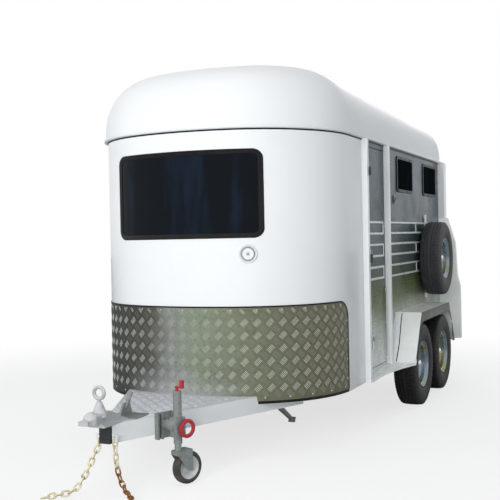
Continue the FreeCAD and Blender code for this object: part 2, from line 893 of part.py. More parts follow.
# Jockey wheel: bracket, swinging tube, sliding leg and wheel
foot_shift = jockey_off * arm_normal.y
arm_point = V(arm_outer_x(jockey_y - foot_shift), jockey_y - foot_shift, 0)
jockey_axis = arm_point + arm_normal * jockey_off


def jockey_block(along0, along1, out0, out1, z0, z1):
    """A block in the bracket's own directions: along the arm, out from its face, up."""
    return on_arm(box(out0, out1, along0, along1, z0, z1), arm_point)


def jockey_point(out, z, ahead=0.0):
    return arm_point + arm_normal * out + arm_dir * ahead + V(0, 0, z)


boss_out = jockey_off - jockey_tube_r - 14
bracket_plate = jockey_block(-58, 58, 0, 10, arm_low - 26, arm_high + 18)
bracket_ribs = [
    jockey_block(ahead, ahead + 10, 0, 34, arm_low - 26, arm_high + 18) for ahead in (-58, -30, 48)
]
boss = Part.makeCylinder(jockey_boss_r, boss_out - 8, jockey_point(8, jockey_pivot_z), arm_normal)
jockey_bracket = fused([bracket_plate, boss] + bracket_ribs)
hub = Part.makeCylinder(
    jockey_boss_r + 6, jockey_off - boss_out - running_gap,
    jockey_point(boss_out + running_gap, jockey_pivot_z), arm_normal
)
collar = jockey_block(-32, 32, jockey_off - 30, jockey_off + 30, jockey_pivot_z - 55, jockey_pivot_z + 55)
tube_base = V(jockey_axis.x, jockey_axis.y, jockey_tube_low)
tube = Part.makeCylinder(jockey_tube_r, jockey_tube_high - jockey_tube_low, tube_base)
tube_bore = Part.makeCylinder(
    jockey_inner_r + jockey_slip, jockey_tube_high - jockey_tube_low - 6,
    V(jockey_axis.x, jockey_axis.y, jockey_tube_low - 1)
)
jockey_tube = fused([hub, collar, tube]).cut(tube_bore)
hoop_out = jockey_off + 30
hoop = ring_of(clamp_hoop_r, clamp_wire_r, jockey_point(hoop_out + 12, jockey_pivot_z - 8, 34), arm_normal)
hoop_root = Part.makeCylinder(9, 12, jockey_point(hoop_out, jockey_pivot_z + 25, 22), arm_normal)
export("jockey_bracket", [jockey_bracket])
export("jockey_tube", [jockey_tube])
export("jockey_clamp_handle", [fused([hoop, hoop_root])])
crank_stub = Part.makeCylinder(9, 26, V(jockey_axis.x, jockey_axis.y, jockey_tube_high))
crank_arm = jockey_block(-9, 9, jockey_off - 9, jockey_off + 55, jockey_tube_high + 18, jockey_tube_high + 26)
crank_knob = Part.makeCylinder(
    13, crank_high - jockey_tube_high - 26, jockey_point(jockey_off + 43, jockey_tube_high + 26)
)
export("jockey_crank", [fused([crank_stub, crank_arm, crank_knob])])

leg_top = jockey_tube_high - 6 - 60
leg_bar = Part.makeCylinder(
    jockey_inner_r, leg_top - jockey_fork_z - 20, V(jockey_axis.x, jockey_axis.y, jockey_fork_z + 20)
)
fork_gap = jockey_wheel_wide / 2.0 + 3
fork_out = fork_gap + 5
crown_points = [(-22, 4), (2, 6), (38, 26), (jockey_trail + 14, 26), (jockey_trail + 14, 32),
                (34, 32), (-22, 28)]
fork_crown = prism(
    [jockey_point(jockey_off - fork_out, jockey_fork_z + up, ahead) for ahead, up in crown_points],
    arm_normal * (2 * fork_out)
)


def fork_cheek(out0):
    """One side of the fork, tapering from the crown to the wheel's axle."""
    points = [(-22, jockey_fork_z + 4), (-22, jockey_fork_z + 28), (34, jockey_fork_z + 32),
              (jockey_trail + 14, jockey_fork_z + 32), (jockey_trail + 16, jockey_wheel_r - 14),
              (jockey_trail - 16, jockey_wheel_r - 14)]
    corners = [jockey_point(out0, z, ahead) for ahead, z in points]
    return prism(corners, arm_normal * 5)


pin = Part.makeCylinder(
    8, 2 * fork_out, jockey_point(jockey_off - fork_out, jockey_wheel_r, jockey_trail), arm_normal
)
jockey_leg = fused(
    [leg_bar, fork_crown, fork_cheek(jockey_off - fork_out), fork_cheek(jockey_off + fork_gap), pin]
)
export("jockey_leg", [jockey_leg])


def revolved(profile, centre, axis):
    """A solid turned about an axis. The profile lists (radius, place along the axis)."""
    side = V(0, 0, 1)
    points = [centre + side * r + axis * a for r, a in profile]
    face = Part.Face(Part.makePolygon(points + [points[0]]))
    return face.revolve(centre, axis, 360)


jockey_hub_point = jockey_point(jockey_off, jockey_wheel_r, jockey_trail)
half = jockey_wheel_wide / 2.0
jockey_wheel = revolved(
    [(8.3, -half), (jockey_wheel_r - 20, -half), (jockey_wheel_r, -half + 12),
     (jockey_wheel_r, half - 12), (jockey_wheel_r - 20, half), (8.3, half)],
    jockey_hub_point, arm_normal
)
export("jockey_wheel", [jockey_wheel])


# Drop legs under the front corners
def drop_leg():
    half = leg_size / 2.0
    far = leg_y + leg_long - half
    profile = [(leg_y - half, leg_z - half), (leg_y + half, leg_z - half - 4), (far, leg_z - leg_tip / 2.0),
               (far, leg_z + leg_tip / 2.0), (leg_y - half, leg_z + half)]
    bar = prism([V(leg_x - half, y, z) for y, z in profile], V(leg_size, 0, 0))
    shoe = box(leg_x - 24, leg_x + 24, far - 6, far, leg_z - 18, leg_z + 18)
    pivot_hole = Part.makeCylinder(8.3, leg_size + 2, V(leg_x - leg_size / 2.0 - 1, leg_y, leg_z), X_AXIS)
    whole = fused([bar, shoe]).cut(pivot_hole)
    whole.rotate(V(leg_x, leg_y, leg_z), X_AXIS, -leg_tilt)
    return whole


ear_gap = leg_size / 2.0 + 2
ears = [
    box(x, x + 6, leg_y - 22, leg_y + 22, leg_z - 18, cross_low)
    for x in (leg_x + ear_gap, leg_x - ear_gap - 6)
]
leg_pin = Part.makeCylinder(8, 2 * ear_gap + 12, V(leg_x - ear_gap - 6, leg_y, leg_z), X_AXIS)
hanger_top = box(leg_x - ear_gap - 6, leg_x + ear_gap + 6, leg_y - 22, cross_places[0] + cross_wide,
                 cross_low - 6, cross_low)
hanger = fused(ears + [leg_pin, hanger_top])
export("drop_leg_hangers", pair(hanger))
export("drop_leg_left", [drop_leg()])
export("drop_leg_right", [mirrored(drop_leg())])

# Wheels, spare and running gear
tyre_profile = [
    (rim_r, -tyre_wide * 0.39), (rim_r + 85, -tyre_wide / 2.0), (tyre_r, -tyre_wide * 0.37),
    (tyre_r, tyre_wide * 0.37), (rim_r + 85, tyre_wide / 2.0), (rim_r, tyre_wide * 0.39),
]
rim_back = -70.0
rim_profile = [
    (0, rim_back), (rim_r, rim_back), (rim_r, tyre_wide * 0.39), (rim_r - 16, tyre_wide * 0.39),
    (62, 22), (46, 52), (0, 52),
]


def tyre_at(y, z):
    return revolved(tyre_profile, V(wheel_x, y, z), X_AXIS)


def rim_at(y, z):
    return revolved(rim_profile, V(wheel_x, y, z), X_AXIS)


axle_places = {"front": tandem_y - axle_spacing / 2.0, "rear": tandem_y + axle_spacing / 2.0}
axles = []
springs = []
for place, y in axle_places.items():
    for side, turn in (("left", False), ("right", True)):
        tyre = tyre_at(y, tyre_r)
        rim = rim_at(y, tyre_r)
        if turn:
            tyre = mirrored(tyre)
            rim = mirrored(rim)
        export("tyre_" + place + "_" + side, [tyre])
        export("rim_" + place + "_" + side, [rim])
    drum_end = wheel_x + rim_back - running_gap
    half = axle_size / 2.0
    beam = box(-drum_end + 25, drum_end - 25, y - half, y + half, tyre_r - half, tyre_r + half)
    drum = Part.makeCylinder(drum_r, 26, V(drum_end - 26, y, tyre_r), X_AXIS)
    axles.append(fused([beam] + pair(drum)))
    reach = axle_spacing / 2.0 - 35
    low = tyre_r + half
    high = rail_low - 8
    top_mid = V(rail_x - spring_wide / 2.0, y, low + spring_thick)
    ends = [V(rail_x - spring_wide / 2.0, y + s * reach, high) for s in (-1, 1)]
    bottom_ends = [V(rail_x - spring_wide / 2.0, y + s * reach, high - 8) for s in (1, -1)]
    bottom_mid = V(rail_x - spring_wide / 2.0, y, low)
    leaf = Part.Wire([
        Part.Arc(ends[0], top_mid, ends[1]).toShape(),
        Part.LineSegment(ends[1], bottom_ends[0]).toShape(),
        Part.Arc(bottom_ends[0], bottom_mid, bottom_ends[1]).toShape(),
        Part.LineSegment(bottom_ends[1], ends[0]).toShape(),
    ])
    leaf_solid = Part.Face(leaf).extrude(V(spring_wide, 0, 0))
    shackles = [
        box(rail_x - spring_wide / 2.0, rail_x + spring_wide / 2.0, y + s * reach - 18,
            y + s * reach + 18, high - 18, rail_low)
        for s in (-1, 1)
    ]
    springs += pair(fused([leaf_solid] + shackles))
export("axles", axles)
export("leaf_springs", springs)
export("spare_tyre", [tyre_at(spare_y, spare_z)])
export("spare_rim", [rim_at(spare_y, spare_z)])
spare_back = wheel_x + rim_back
channel = box(body_half + rib_proud, body_half + channel_deep, spare_y - channel_wide / 2.0,
              spare_y + channel_wide / 2.0, guard_top + channel_foot, channel_high)
channel_top = box(body_half, body_half + channel_deep, spare_y - channel_wide / 2.0,
                  spare_y + channel_wide / 2.0, channel_high, channel_high + channel_head)
channel_foot = box(body_half, body_half + channel_deep, spare_y - channel_wide / 2.0,
                   spare_y + channel_wide / 2.0, guard_top + channel_foot, guard_top + 2.0 * channel_foot)
spare_stud = Part.makeCylinder(
    spare_stud_r, spare_back - body_half - rib_proud, V(body_half + rib_proud, spare_y, spare_z), X_AXIS
)
export("spare_bracket", [fused([channel, channel_top, channel_foot, spare_stud])])

# Mudguards: one folded sheet over both wheels on each side
guard_in = body_half


def guard_outline(inset, x):
    """Side view of a mudguard; inset moves the sloping ends and the top inwards."""
    front_run = guard_front_high - guard_front_low
    rear_run = guard_rear_low - guard_rear_high
    rise = guard_top - guard_bottom
    front_side = inset * math.hypot(front_run, rise) / rise
    rear_side = inset * math.hypot(rear_run, rise) / rise
    front_share = inset * front_run / rise
    rear_share = inset * rear_run / rise
    return [
        V(x, guard_front_low + front_side, guard_bottom),
        V(x, guard_front_high + front_side - front_share, guard_top - inset),
        V(x, guard_rear_high - rear_side + rear_share, guard_top - inset),
        V(x, guard_rear_low - rear_side, guard_bottom),
    ]


guard_shell = prism(guard_outline(0, guard_in), V(guard_out - guard_in, 0, 0))
guard_hollow = prism(
    guard_outline(guard_sheet, guard_in - 1), V(guard_out - guard_in - guard_sheet + 1, 0, 0)
)
arch_points = [
    V(guard_out - guard_sheet - 1, axle_places["front"] - tyre_r - arch_clear, guard_bottom - 1),
    V(guard_out - guard_sheet - 1, axle_places["front"] - tyre_r - arch_clear, arch_top),
    V(guard_out - guard_sheet - 1, axle_places["rear"] + tyre_r - arch_clear, arch_top),
    V(guard_out - guard_sheet - 1, axle_places["rear"] + tyre_r - arch_clear, guard_bottom - 1),
]
arch = slab(arch_points, [0, arch_front_r, arch_rear_r, 0], V(guard_sheet + 2, 0, 0))
floor_strip = box(guard_in - 2, guard_out + 2, guard_front_low - 10, guard_rear_low + 10,
                  guard_bottom - 1, guard_bottom)
mudguard = guard_shell.cut(guard_hollow).cut(arch).cut(floor_strip)
step_rise = (guard_bottom - step_low) / (guard_front_low - door_front)
step_line = step_edge + ((guard_front_low, guard_wide),)


def step_point(x, y, drop):
    return V(x, y, step_low + (y - door_front) * step_rise - drop)


def step_sheet(inner, drop):
    """A strip of the step between its curved outer edge and a line further in."""
    edge = [step_point(body_half + out, y, drop) for y, out in step_line]
    edge.append(step_point(guard_out, guard_front_low + 6, drop))
    return edge + [step_point(x, y, drop) for x, y in inner]


step_plate = prism(
    step_sheet([(body_half, guard_front_low + 6), (body_half, door_front)], guard_sheet), V(0, 0, guard_sheet)
)
step_lip = prism(
    step_sheet([(body_half + out - guard_sheet, y) for y, out in reversed(step_line)], 16), V(0, 0, 14)
)
step = fused([step_plate, step_lip]).cut(posts[1]).cut(posts[0])
mudguard = fused([mudguard, step])
export("mudguards", pair(mudguard))

# Rear frame, wings and lamps
rear_half_open = body_half - frame_wide
rear_frame = box(-body_half, body_half, frame_front, body_end, skirt_z, gutter_z).cut(
    box(-rear_half_open, rear_half_open, frame_front - 1, body_end + 1, floor_z + floor_thick, header_low)
)
ramp_front = body_end + ramp_gap
ramp_back = ramp_front + ramp_thick
ramp_axis_y = ramp_back + ramp_hinge_r + hinge_play
ramp_axis_z = ramp_low
barn_axis_x = ramp_half + 8
barn_axis_y = ramp_front + barn_thick + 8
frame_parts = [rear_frame]
for x in ramp_hinge_places:
    low = ramp_axis_z - ramp_hinge_r
    frame_parts.append(Part.makeCylinder(ramp_hinge_r, 30, V(x + 50.5, ramp_axis_y, ramp_axis_z), X_AXIS))
    frame_parts.append(box(x + 50.5, x + 80.5, body_end, ramp_axis_y, low - 8, low + 4))
for z in (barn_low + 90, barn_high - 90):
    for turn in (1, -1):
        x = barn_axis_x * turn
        knuckle = Part.makeCylinder(8, 24, V(x, barn_axis_y, z + 40.5))
        arm_x = (barn_axis_x - 5) * turn
        end_x = body_half * turn
        bracket = box(min(arm_x, end_x), max(arm_x, end_x), body_end, barn_axis_y, z + 40.5, z + 64.5)
        frame_parts += [knuckle, bracket]
rear_frame = fused(frame_parts)
wing_levels = []
for z, out in wing_profile:
    corners = [V(body_half, wing_front, z), V(body_half + out, frame_front, z),
               V(body_half + out, body_end, z), V(body_half, body_end, z)]
    wing_levels.append(Part.makePolygon(corners + [corners[0]]))
wing = Part.makeLoft(wing_levels, True, True)
lamps = []
for z in lamp_heights:
    lamps += pair(
        revolved([(0, 0), (lamp_r, 0), (lamp_r, lamp_deep - 6), (lamp_r - 8, lamp_deep), (0, lamp_deep)],
                 V(lamp_x, body_end, z), Y_AXIS)
    )
export("rear_frame", [rear_frame])
export("rear_wings", pair(wing))
export("tail_lamps", lamps)

# Ramp, mat and upper doors
ramp = [box(-ramp_half, ramp_half, ramp_front, ramp_back, ramp_low, ramp_high)]
for x in ramp_hinge_places:
    ramp.append(Part.makeCylinder(ramp_hinge_r, 100, V(x - 50, ramp_axis_y, ramp_axis_z), X_AXIS))
    ramp.append(box(x - 50, x + 50, ramp_back - 5, ramp_axis_y, ramp_low, ramp_low + ramp_hinge_r))
export("ramp", [fused(ramp)])
mat_low = floor_z + floor_thick + 25
mat = [box(-mat_half, mat_half, ramp_front - mat_thick, ramp_front, mat_low, ramp_high - 30)]
cleat_count = 9
cleat_step = (ramp_high - 30 - mat_low) / (cleat_count + 1)
for i in range(cleat_count):
    z = mat_low + (i + 1) * cleat_step
    mat.append(box(-mat_half + 40, mat_half - 40, ramp_front - mat_thick - 10,
                   ramp_front - mat_thick, z - 12, z + 12))
export("ramp_mat", [fused(mat)])
barn = [box(4, ramp_half, ramp_front, ramp_front + barn_thick, barn_low, barn_high)]
for z in (barn_low + 90, barn_high - 90):
    barn.append(Part.makeCylinder(8, 80, V(barn_axis_x, barn_axis_y, z - 40)))
    barn.append(box(ramp_half - 60, barn_axis_x, ramp_front + barn_thick,
                    ramp_front + barn_thick + 8, z - 40, z + 40))
barn_door = fused(barn)
export("barn_door_left", [barn_door])
export("barn_door_right", [mirrored(barn_door)])

# Inside: stall divider and chest bars
divider = slab(
    rect_yz(divider_front, divider_back, divider_low, divider_high, -divider_half),
    [divider_r] * 4,
    V(2 * divider_half, 0, 0),
)
header_z = gutter_z - header_to_gutter - divider_header
divider_posts = [
    box(-divider_half, divider_half, y, y + 40, floor_z + floor_thick, header_z)
    for y in (divider_front - 40, divider_back)
]
header_bar = box(-divider_half, divider_half, divider_front - 40, divider_back + 40,
                 header_z, header_z + divider_header)
export("stall_divider", [fused([divider, header_bar] + divider_posts)])
bar_reach = body_half - wall - divider_half
chest = Part.makeCylinder(
    chest_bar_r, bar_reach, V(divider_half, divider_front - 20, chest_bar_z), X_AXIS
)
export("chest_bars", pair(chest))
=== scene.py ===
"""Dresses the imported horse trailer: body skins, glass, tread plate, tyres, chains and finishes."""

import json
import math

import bmesh
import bpy
import numpy as np
from mathutils import Matrix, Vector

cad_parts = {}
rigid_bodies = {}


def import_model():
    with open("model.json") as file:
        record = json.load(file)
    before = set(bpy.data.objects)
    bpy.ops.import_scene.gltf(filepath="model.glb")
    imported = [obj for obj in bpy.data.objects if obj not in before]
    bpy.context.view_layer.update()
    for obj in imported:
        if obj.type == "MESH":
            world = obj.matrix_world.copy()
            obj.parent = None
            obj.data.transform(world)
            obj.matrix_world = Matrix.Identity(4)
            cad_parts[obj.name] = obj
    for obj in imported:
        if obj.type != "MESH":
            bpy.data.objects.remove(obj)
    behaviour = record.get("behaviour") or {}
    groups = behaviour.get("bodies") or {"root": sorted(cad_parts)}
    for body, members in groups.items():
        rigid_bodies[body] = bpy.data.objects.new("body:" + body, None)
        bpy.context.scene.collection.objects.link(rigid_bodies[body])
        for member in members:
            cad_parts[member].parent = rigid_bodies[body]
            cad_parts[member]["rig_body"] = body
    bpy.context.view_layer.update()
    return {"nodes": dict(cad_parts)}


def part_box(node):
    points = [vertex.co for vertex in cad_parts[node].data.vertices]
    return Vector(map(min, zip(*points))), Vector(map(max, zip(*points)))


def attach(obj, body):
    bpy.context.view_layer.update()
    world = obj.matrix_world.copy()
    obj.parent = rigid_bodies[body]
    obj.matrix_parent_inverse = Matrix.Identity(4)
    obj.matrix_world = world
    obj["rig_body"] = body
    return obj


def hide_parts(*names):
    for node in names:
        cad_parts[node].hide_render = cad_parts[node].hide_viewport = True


bl_info = {
    "name": "Horse trailer",
    "version": (1, 0, 0),
    "blender": (4, 5, 0),
    "location": "3D View > Sidebar > Trailer",
    "description": "Skins, glass, tread plate, tyres, chains and finishes of a horse trailer",
    "category": "Object",
}

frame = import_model()

# Plan of the body, in metres. Its distances back are counted from the middle of the nose, which
# lies MID_Y ahead of the frame's origin.
BODY_HALF = 0.870
CORNER_R = 0.730
NOSE_R = 1.255
MID_Y = 1.345
SKIRT_Z = 0.325
RAIL_Z = 2.055
BODY_END = 3.750
DOOR_FRONT = 1.100
SHADOW_STRIP_END = 3.690
LEAN = math.asin((BODY_HALF - CORNER_R) / (NOSE_R - CORNER_R))
CORNER_X = (NOSE_R - CORNER_R) * math.sin(LEAN)
CORNER_Y = NOSE_R - (NOSE_R - CORNER_R) * math.cos(LEAN)
S_NOSE = NOSE_R * LEAN
S_CORNER = S_NOSE + CORNER_R * (math.pi / 2 - LEAN)
WALL = 0.030
WINDOW_LOW, WINDOW_HIGH = 1.373, 1.896
VENT_X, VENT_Z = 0.425, 1.259
GUARD_END = 0.680
GUARD_LOW, GUARD_HIGH = 0.345, 0.930
GUARD_THICK = 0.003
GUARD_CORNER = 0.110
ARM_SLOPE = math.tan(math.radians(23.5))
ARM_HALF = 0.034
ARM_FRONT = -0.883
ARM_TOP = 0.372
ARM_GAP = 0.002
DECK_FRONT = -0.588
DECK_THICK = 0.004
TYRE_R, RIM_R = 0.325, 0.178


def mm(pairs):
    """A profile that is written in millimetres, in metres."""
    return np.array(pairs, float) / 1000


# Places on the body

def on_body(s, z, out):
    """Point at distance s round the body's plan, height z and out from its skin.

    The plan is a wide arc across the nose, a tighter arc round each corner and then a
    straight side. The place on an arc is its centre plus (radius + out) times the direction
    for the angle that distance / radius gives.
    """
    s, z, out = np.broadcast_arrays(np.asarray(s, float), z, out)
    away = np.abs(s)
    nose = away < S_NOSE
    corner_turn = np.minimum(LEAN + (away - S_NOSE) / CORNER_R, math.pi / 2)
    turn = np.where(nose, away / NOSE_R, corner_turn)
    radius = np.where(nose, NOSE_R, CORNER_R) + out
    x = np.where(nose, 0, CORNER_X) + radius * np.sin(turn)
    y = np.where(nose, NOSE_R, CORNER_Y) - radius * np.cos(turn)
    y = y + np.maximum(away - S_CORNER, 0)
    return np.stack([np.where(s < 0, -x, x), y - MID_Y, z], -1)


def round_at_x(x):
    """Distance round the plan of a point that lies x to the side: the arc's angle times its radius."""
    away = np.abs(np.asarray(x, float))
    on_nose = NOSE_R * np.arcsin(np.minimum(away / NOSE_R, 1))
    turn = np.arcsin(np.clip((away - CORNER_X) / CORNER_R, 0, 1))
    on_corner = S_NOSE + (turn - LEAN) * CORNER_R
    return np.sign(x) * np.where(away < CORNER_X + CORNER_R * math.sin(LEAN), on_nose, on_corner)


def round_at_y(y):
    """Distance round the plan of a point that lies y behind the nose."""
    if y > CORNER_Y:
        return S_CORNER + y - CORNER_Y
    return S_NOSE + (math.acos((CORNER_Y - y) / CORNER_R) - LEAN) * CORNER_R


def arm_half(y):
    """Half the width over the drawbar's arms: their width in front plus the way back times the slope."""
    return ARM_HALF + (y - ARM_FRONT) * ARM_SLOPE


def arm_meets_nose():
    """How far round the plan an arm's outer face crosses it: a few rounds of one line in the other."""
    y = 0.0
    for _ in range(12):
        x = arm_half(y)
        y = NOSE_R - math.sqrt(NOSE_R ** 2 - x ** 2)
        if x > CORNER_X + CORNER_R * math.sin(LEAN):
            y = CORNER_Y - math.sqrt(CORNER_R ** 2 - (x - CORNER_X) ** 2)
    return float(round_at_x(x + ARM_GAP))


def both_sides(right):
    """Distances round the plan from left to right, from those of the right side that start at 0."""
    return np.concatenate([-right[:0:-1], right])


# Meshes

class Shape:
    """Collects arrays of points and faces that become one mesh."""

    def __init__(self):
        self.points = []
        self.faces = []
        self.marks = []
        self.count = 0

    def add(self, points, faces, mark=0.0):
        """Rows of points, arrays of faces that count from the first of them, and a mark for each."""
        points = np.asarray(points, float).reshape(-1, 3)
        self.points.append(points)
        self.marks.append(np.broadcast_to(np.asarray(mark, float), (len(points),)))
        for rows in faces:
            self.faces.append(np.asarray(rows, int) + self.count)
        self.count += len(points)
        return self

    def grid(self, points, wrap_rows=False, wrap_columns=False, cap_rows=False, mark=0.0):
        """Four-sided faces between neighbouring points of a (rows, columns, 3) array.

        wrap_ joins the last row or column to the first. cap_rows closes the first and last
        row with a fan to their middles.
        """
        rows, columns = points.shape[:2]
        index = np.arange(rows * columns).reshape(rows, columns)
        around = index
        if wrap_rows:
            around = np.vstack([around, around[:1]])
        if wrap_columns:
            around = np.hstack([around, around[:, :1]])
        quads = np.stack([around[:-1, :-1], around[1:, :-1], around[1:, 1:], around[:-1, 1:]], -1)
        faces = [quads.reshape(-1, 4)]
        flat = points.reshape(-1, 3)
        if cap_rows:
            middles = np.stack([points[0].mean(0), points[-1].mean(0)])
            for end, ring in enumerate((around[0], around[-1])):
                centre = np.full(len(ring) - 1, rows * columns + end)
                faces.append(np.stack([ring[:-1], ring[1:], centre], -1))
            flat = np.vstack([flat, middles])
        return self.add(flat, faces, mark if np.ndim(mark) == 0 else np.resize(mark, len(flat)))

    def mesh(self, name, sharp=35.0):
        """The mesh with its doubles merged, its faces turned outwards and smooth up to an angle."""
        points = np.vstack(self.points)
        sizes = np.concatenate([np.full(len(f), f.shape[1]) for f in self.faces])
        corners = np.concatenate([f.ravel() for f in self.faces])
        made = bpy.data.meshes.new(name)
        made.vertices.add(len(points))
        made.vertices.foreach_set("co", points.astype(np.float32).ravel())
        made.loops.add(len(corners))
        made.loops.foreach_set("vertex_index", corners.astype(np.int32))
        made.polygons.add(len(sizes))
        starts = np.concatenate([[0], np.cumsum(sizes)[:-1]])
        made.polygons.foreach_set("loop_start", starts.astype(np.int32))
        made.update(calc_edges=True)
        mark = made.attributes.new("mark", "FLOAT", "POINT")
        mark.data.foreach_set("value", np.concatenate(self.marks).astype(np.float32))
        work = bmesh.new()
        work.from_mesh(made)
        bmesh.ops.remove_doubles(work, verts=work.verts, dist=1e-6)
        bmesh.ops.recalc_face_normals(work, faces=work.faces)
        work.to_mesh(made)
        work.free()
        return smoothed(made, sharp)


def smoothed(mesh, sharp):
    """The mesh shaded smooth, apart from edges that turn by more than an angle in degrees."""
    mesh.polygons.foreach_set("use_smooth", np.ones(len(mesh.polygons), bool))
    mesh.set_sharp_from_angle(angle=math.radians(sharp))
    mesh.update()
    return mesh


def settle(obj, slot, body, replaces=()):
    """Gives a finished piece its finish, its body and the nodes that it stands for."""
    bpy.context.scene.collection.objects.link(obj)
    obj.data.materials.clear()
    obj.data.materials.append(finish(slot))
    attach(obj, body)
    if replaces:
        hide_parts(*replaces)
    return obj


def piece(name, shape, slot, body="trailer", replaces=(), sharp=35.0):
    """A new piece, made from a collected shape."""
    obj = bpy.data.objects.new(name, shape.mesh(name, sharp))
    return settle(obj, slot, body, replaces)


def refined(node, slot, width=0.0015, segments=2, sharp=38.0):
    """A copy of a CAD node with its doubles merged, its flats joined and its edges rounded."""
    source = frame["nodes"][node]
    mesh = source.data.copy()
    work = bmesh.new()
    work.from_mesh(mesh)
    bmesh.ops.remove_doubles(work, verts=work.verts, dist=2e-6)
    bmesh.ops.dissolve_limit(work, angle_limit=math.radians(0.5), verts=work.verts, edges=work.edges)
    work.to_mesh(mesh)
    work.free()
    obj = bpy.data.objects.new(node + "_finished", smoothed(mesh, sharp))
    settle(obj, slot, source["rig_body"], (node,))
    if width > 0:
        bevel = obj.modifiers.new("rounded edges", "BEVEL")
        bevel.width = width
        bevel.segments = segments
        bevel.limit_method = "ANGLE"
        bevel.angle_limit = math.radians(sharp)
        bevel.harden_normals = True
    return obj


def gapped_sheet(columns, rows, kept, out, inn):
    """A closed sheet on the body's plan.

    It has a front and a back grid at two offsets from the skin, wherever kept is true at a
    cell's middle, and a wall along every edge where the kept cells end.
    """
    s, z = np.meshgrid(columns, rows, indexing="ij")
    both = np.concatenate([on_body(s, z, out).reshape(-1, 3), on_body(s, z, inn).reshape(-1, 3)])
    mask = kept(*np.meshgrid((columns[1:] + columns[:-1]) / 2, (rows[1:] + rows[:-1]) / 2, indexing="ij"))
    index = np.arange(s.size).reshape(s.shape)
    corner = [index[:-1, :-1], index[1:, :-1], index[1:, 1:], index[:-1, 1:]]
    quads = np.stack(corner, -1)
    faces = [quads[mask], quads[mask][:, ::-1] + s.size]
    ringed = np.pad(mask, 1)
    beside = [ringed[1:-1, :-2], ringed[2:, 1:-1], ringed[1:-1, 2:], ringed[:-2, 1:-1]]
    for side, neighbour in enumerate(beside):
        edge = mask & ~neighbour
        a = corner[side][edge]
        b = corner[(side + 1) % 4][edge]
        faces.append(np.stack([b, a, a + s.size, b + s.size], -1))
    return Shape().add(both, faces)


def bounded_sheet(columns, low, high, rows, out, inn):
    """A closed sheet on the body's plan between a lower and an upper line.

    The height of a point is low + share * (high - low), with share from 0 to 1 over the rows.
    """
    share = np.linspace(0, 1, rows)
    z = low[:, None] + share[None, :] * (high - low)[:, None]
    s = np.repeat(columns[:, None], rows, 1)
    front = on_body(s, z, out)
    back = on_body(s, z, inn)[:, ::-1]
    ring = np.concatenate([front, back], 1)
    shape = Shape().grid(ring, wrap_columns=True)
    for end in (0, -1):
        shape.grid(np.stack([front[end], back[end][::-1]]))
    return shape


def swept(path, profile, place, closed):
    """A profile carried along a path in a flat (along, up) chart that place turns into space.

    Each profile point (across, out) lies at path + across * the path's left normal, with
    corners mitred: the normal is the mean of both sides' normals over the cosine of half the turn.
    """
    path = np.asarray(path, float)
    ahead = np.roll(path, -1, 0) - path
    if not closed:
        ahead[-1] = ahead[-2]
    ahead /= np.linalg.norm(ahead, axis=1)[:, None]
    behind = np.roll(ahead, 1, 0)
    if not closed:
        behind[0] = ahead[0]
    normal = np.stack([-ahead[:, 1], ahead[:, 0]], -1)
    before = np.stack([-behind[:, 1], behind[:, 0]], -1)
    mean = normal + before
    mean /= np.linalg.norm(mean, axis=1)[:, None]
    mitre = mean / np.maximum((mean * normal).sum(1), 0.3)[:, None]
    across, out = np.asarray(profile, float).T
    flat = path[:, None, :] + mitre[:, None, :] * across[None, :, None]
    points = place(flat[..., 0], flat[..., 1], np.broadcast_to(out, flat.shape[:2]))
    return Shape().grid(points, wrap_rows=closed, wrap_columns=True, cap_rows=not closed)


def rounded_rect(x0, x1, z0, z1, radius, steps=12, straight=24):
    """Closed outline of a rectangle with rounded corners, its straight sides cut into short steps."""
    points = []
    corners = ((x1 - radius, z0 + radius, -90), (x1 - radius, z1 - radius, 0),
               (x0 + radius, z1 - radius, 90), (x0 + radius, z0 + radius, 180))
    for centre_x, centre_z, start in corners:
        angle = np.radians(np.linspace(start, start + 90, steps))
        points.append(np.stack([centre_x + radius * np.cos(angle), centre_z + radius * np.sin(angle)], -1))
    outline = []
    for i, arc in enumerate(points):
        onward = points[(i + 1) % 4][0]
        share = np.linspace(0, 1, straight, endpoint=False)[1:, None]
        outline += [arc, arc[-1] + (onward - arc[-1]) * share]
    return np.concatenate(outline)


def turned(profile, centre, axis, around=96, start=0.0):
    """A profile of (radius, place along the axis) turned about an axis through centre."""
    axis = np.asarray(axis, float) / np.linalg.norm(axis)
    helper = np.array([0, 0, 1.0]) if abs(axis[2]) < 0.9 else np.array([1.0, 0, 0])
    first = np.cross(helper, axis)
    first /= np.linalg.norm(first)
    second = np.cross(axis, first)
    angle = start + np.linspace(0, 2 * math.pi, around, endpoint=False)
    spoke = np.cos(angle)[:, None] * first + np.sin(angle)[:, None] * second
    radius, along = np.asarray(profile, float).T
    return np.asarray(centre) + spoke[:, None, :] * radius[None, :, None] + axis * along[None, :, None]


def tube(path, radius, around=12, closed=False):
    """A round bar along a path: a circle in the plane across each point's direction."""
    path = np.asarray(path, float)
    ahead = np.gradient(path, axis=0)
    if closed:
        ahead = np.roll(path, -1, 0) - np.roll(path, 1, 0)
    ahead /= np.linalg.norm(ahead, axis=1)[:, None]
    spread = path - path.mean(0)
    flat = np.linalg.svd(spread, full_matrices=False)[2][2] if len(path) > 2 else np.array([0, 0, 1.0])
    if abs(ahead @ flat).max() > 0.9:
        flat = np.array([0.3, 0.9, 0.2])
    side = np.cross(ahead, flat)
    side /= np.linalg.norm(side, axis=1)[:, None]
    up = np.cross(side, ahead)
    angle = np.linspace(0, 2 * math.pi, around, endpoint=False)
    ring = np.cos(angle)[None, :, None] * side[:, None, :] + np.sin(angle)[None, :, None] * up[:, None, :]
    points = path[:, None, :] + ring * radius
    return Shape().grid(points, wrap_rows=closed, wrap_columns=True, cap_rows=not closed)


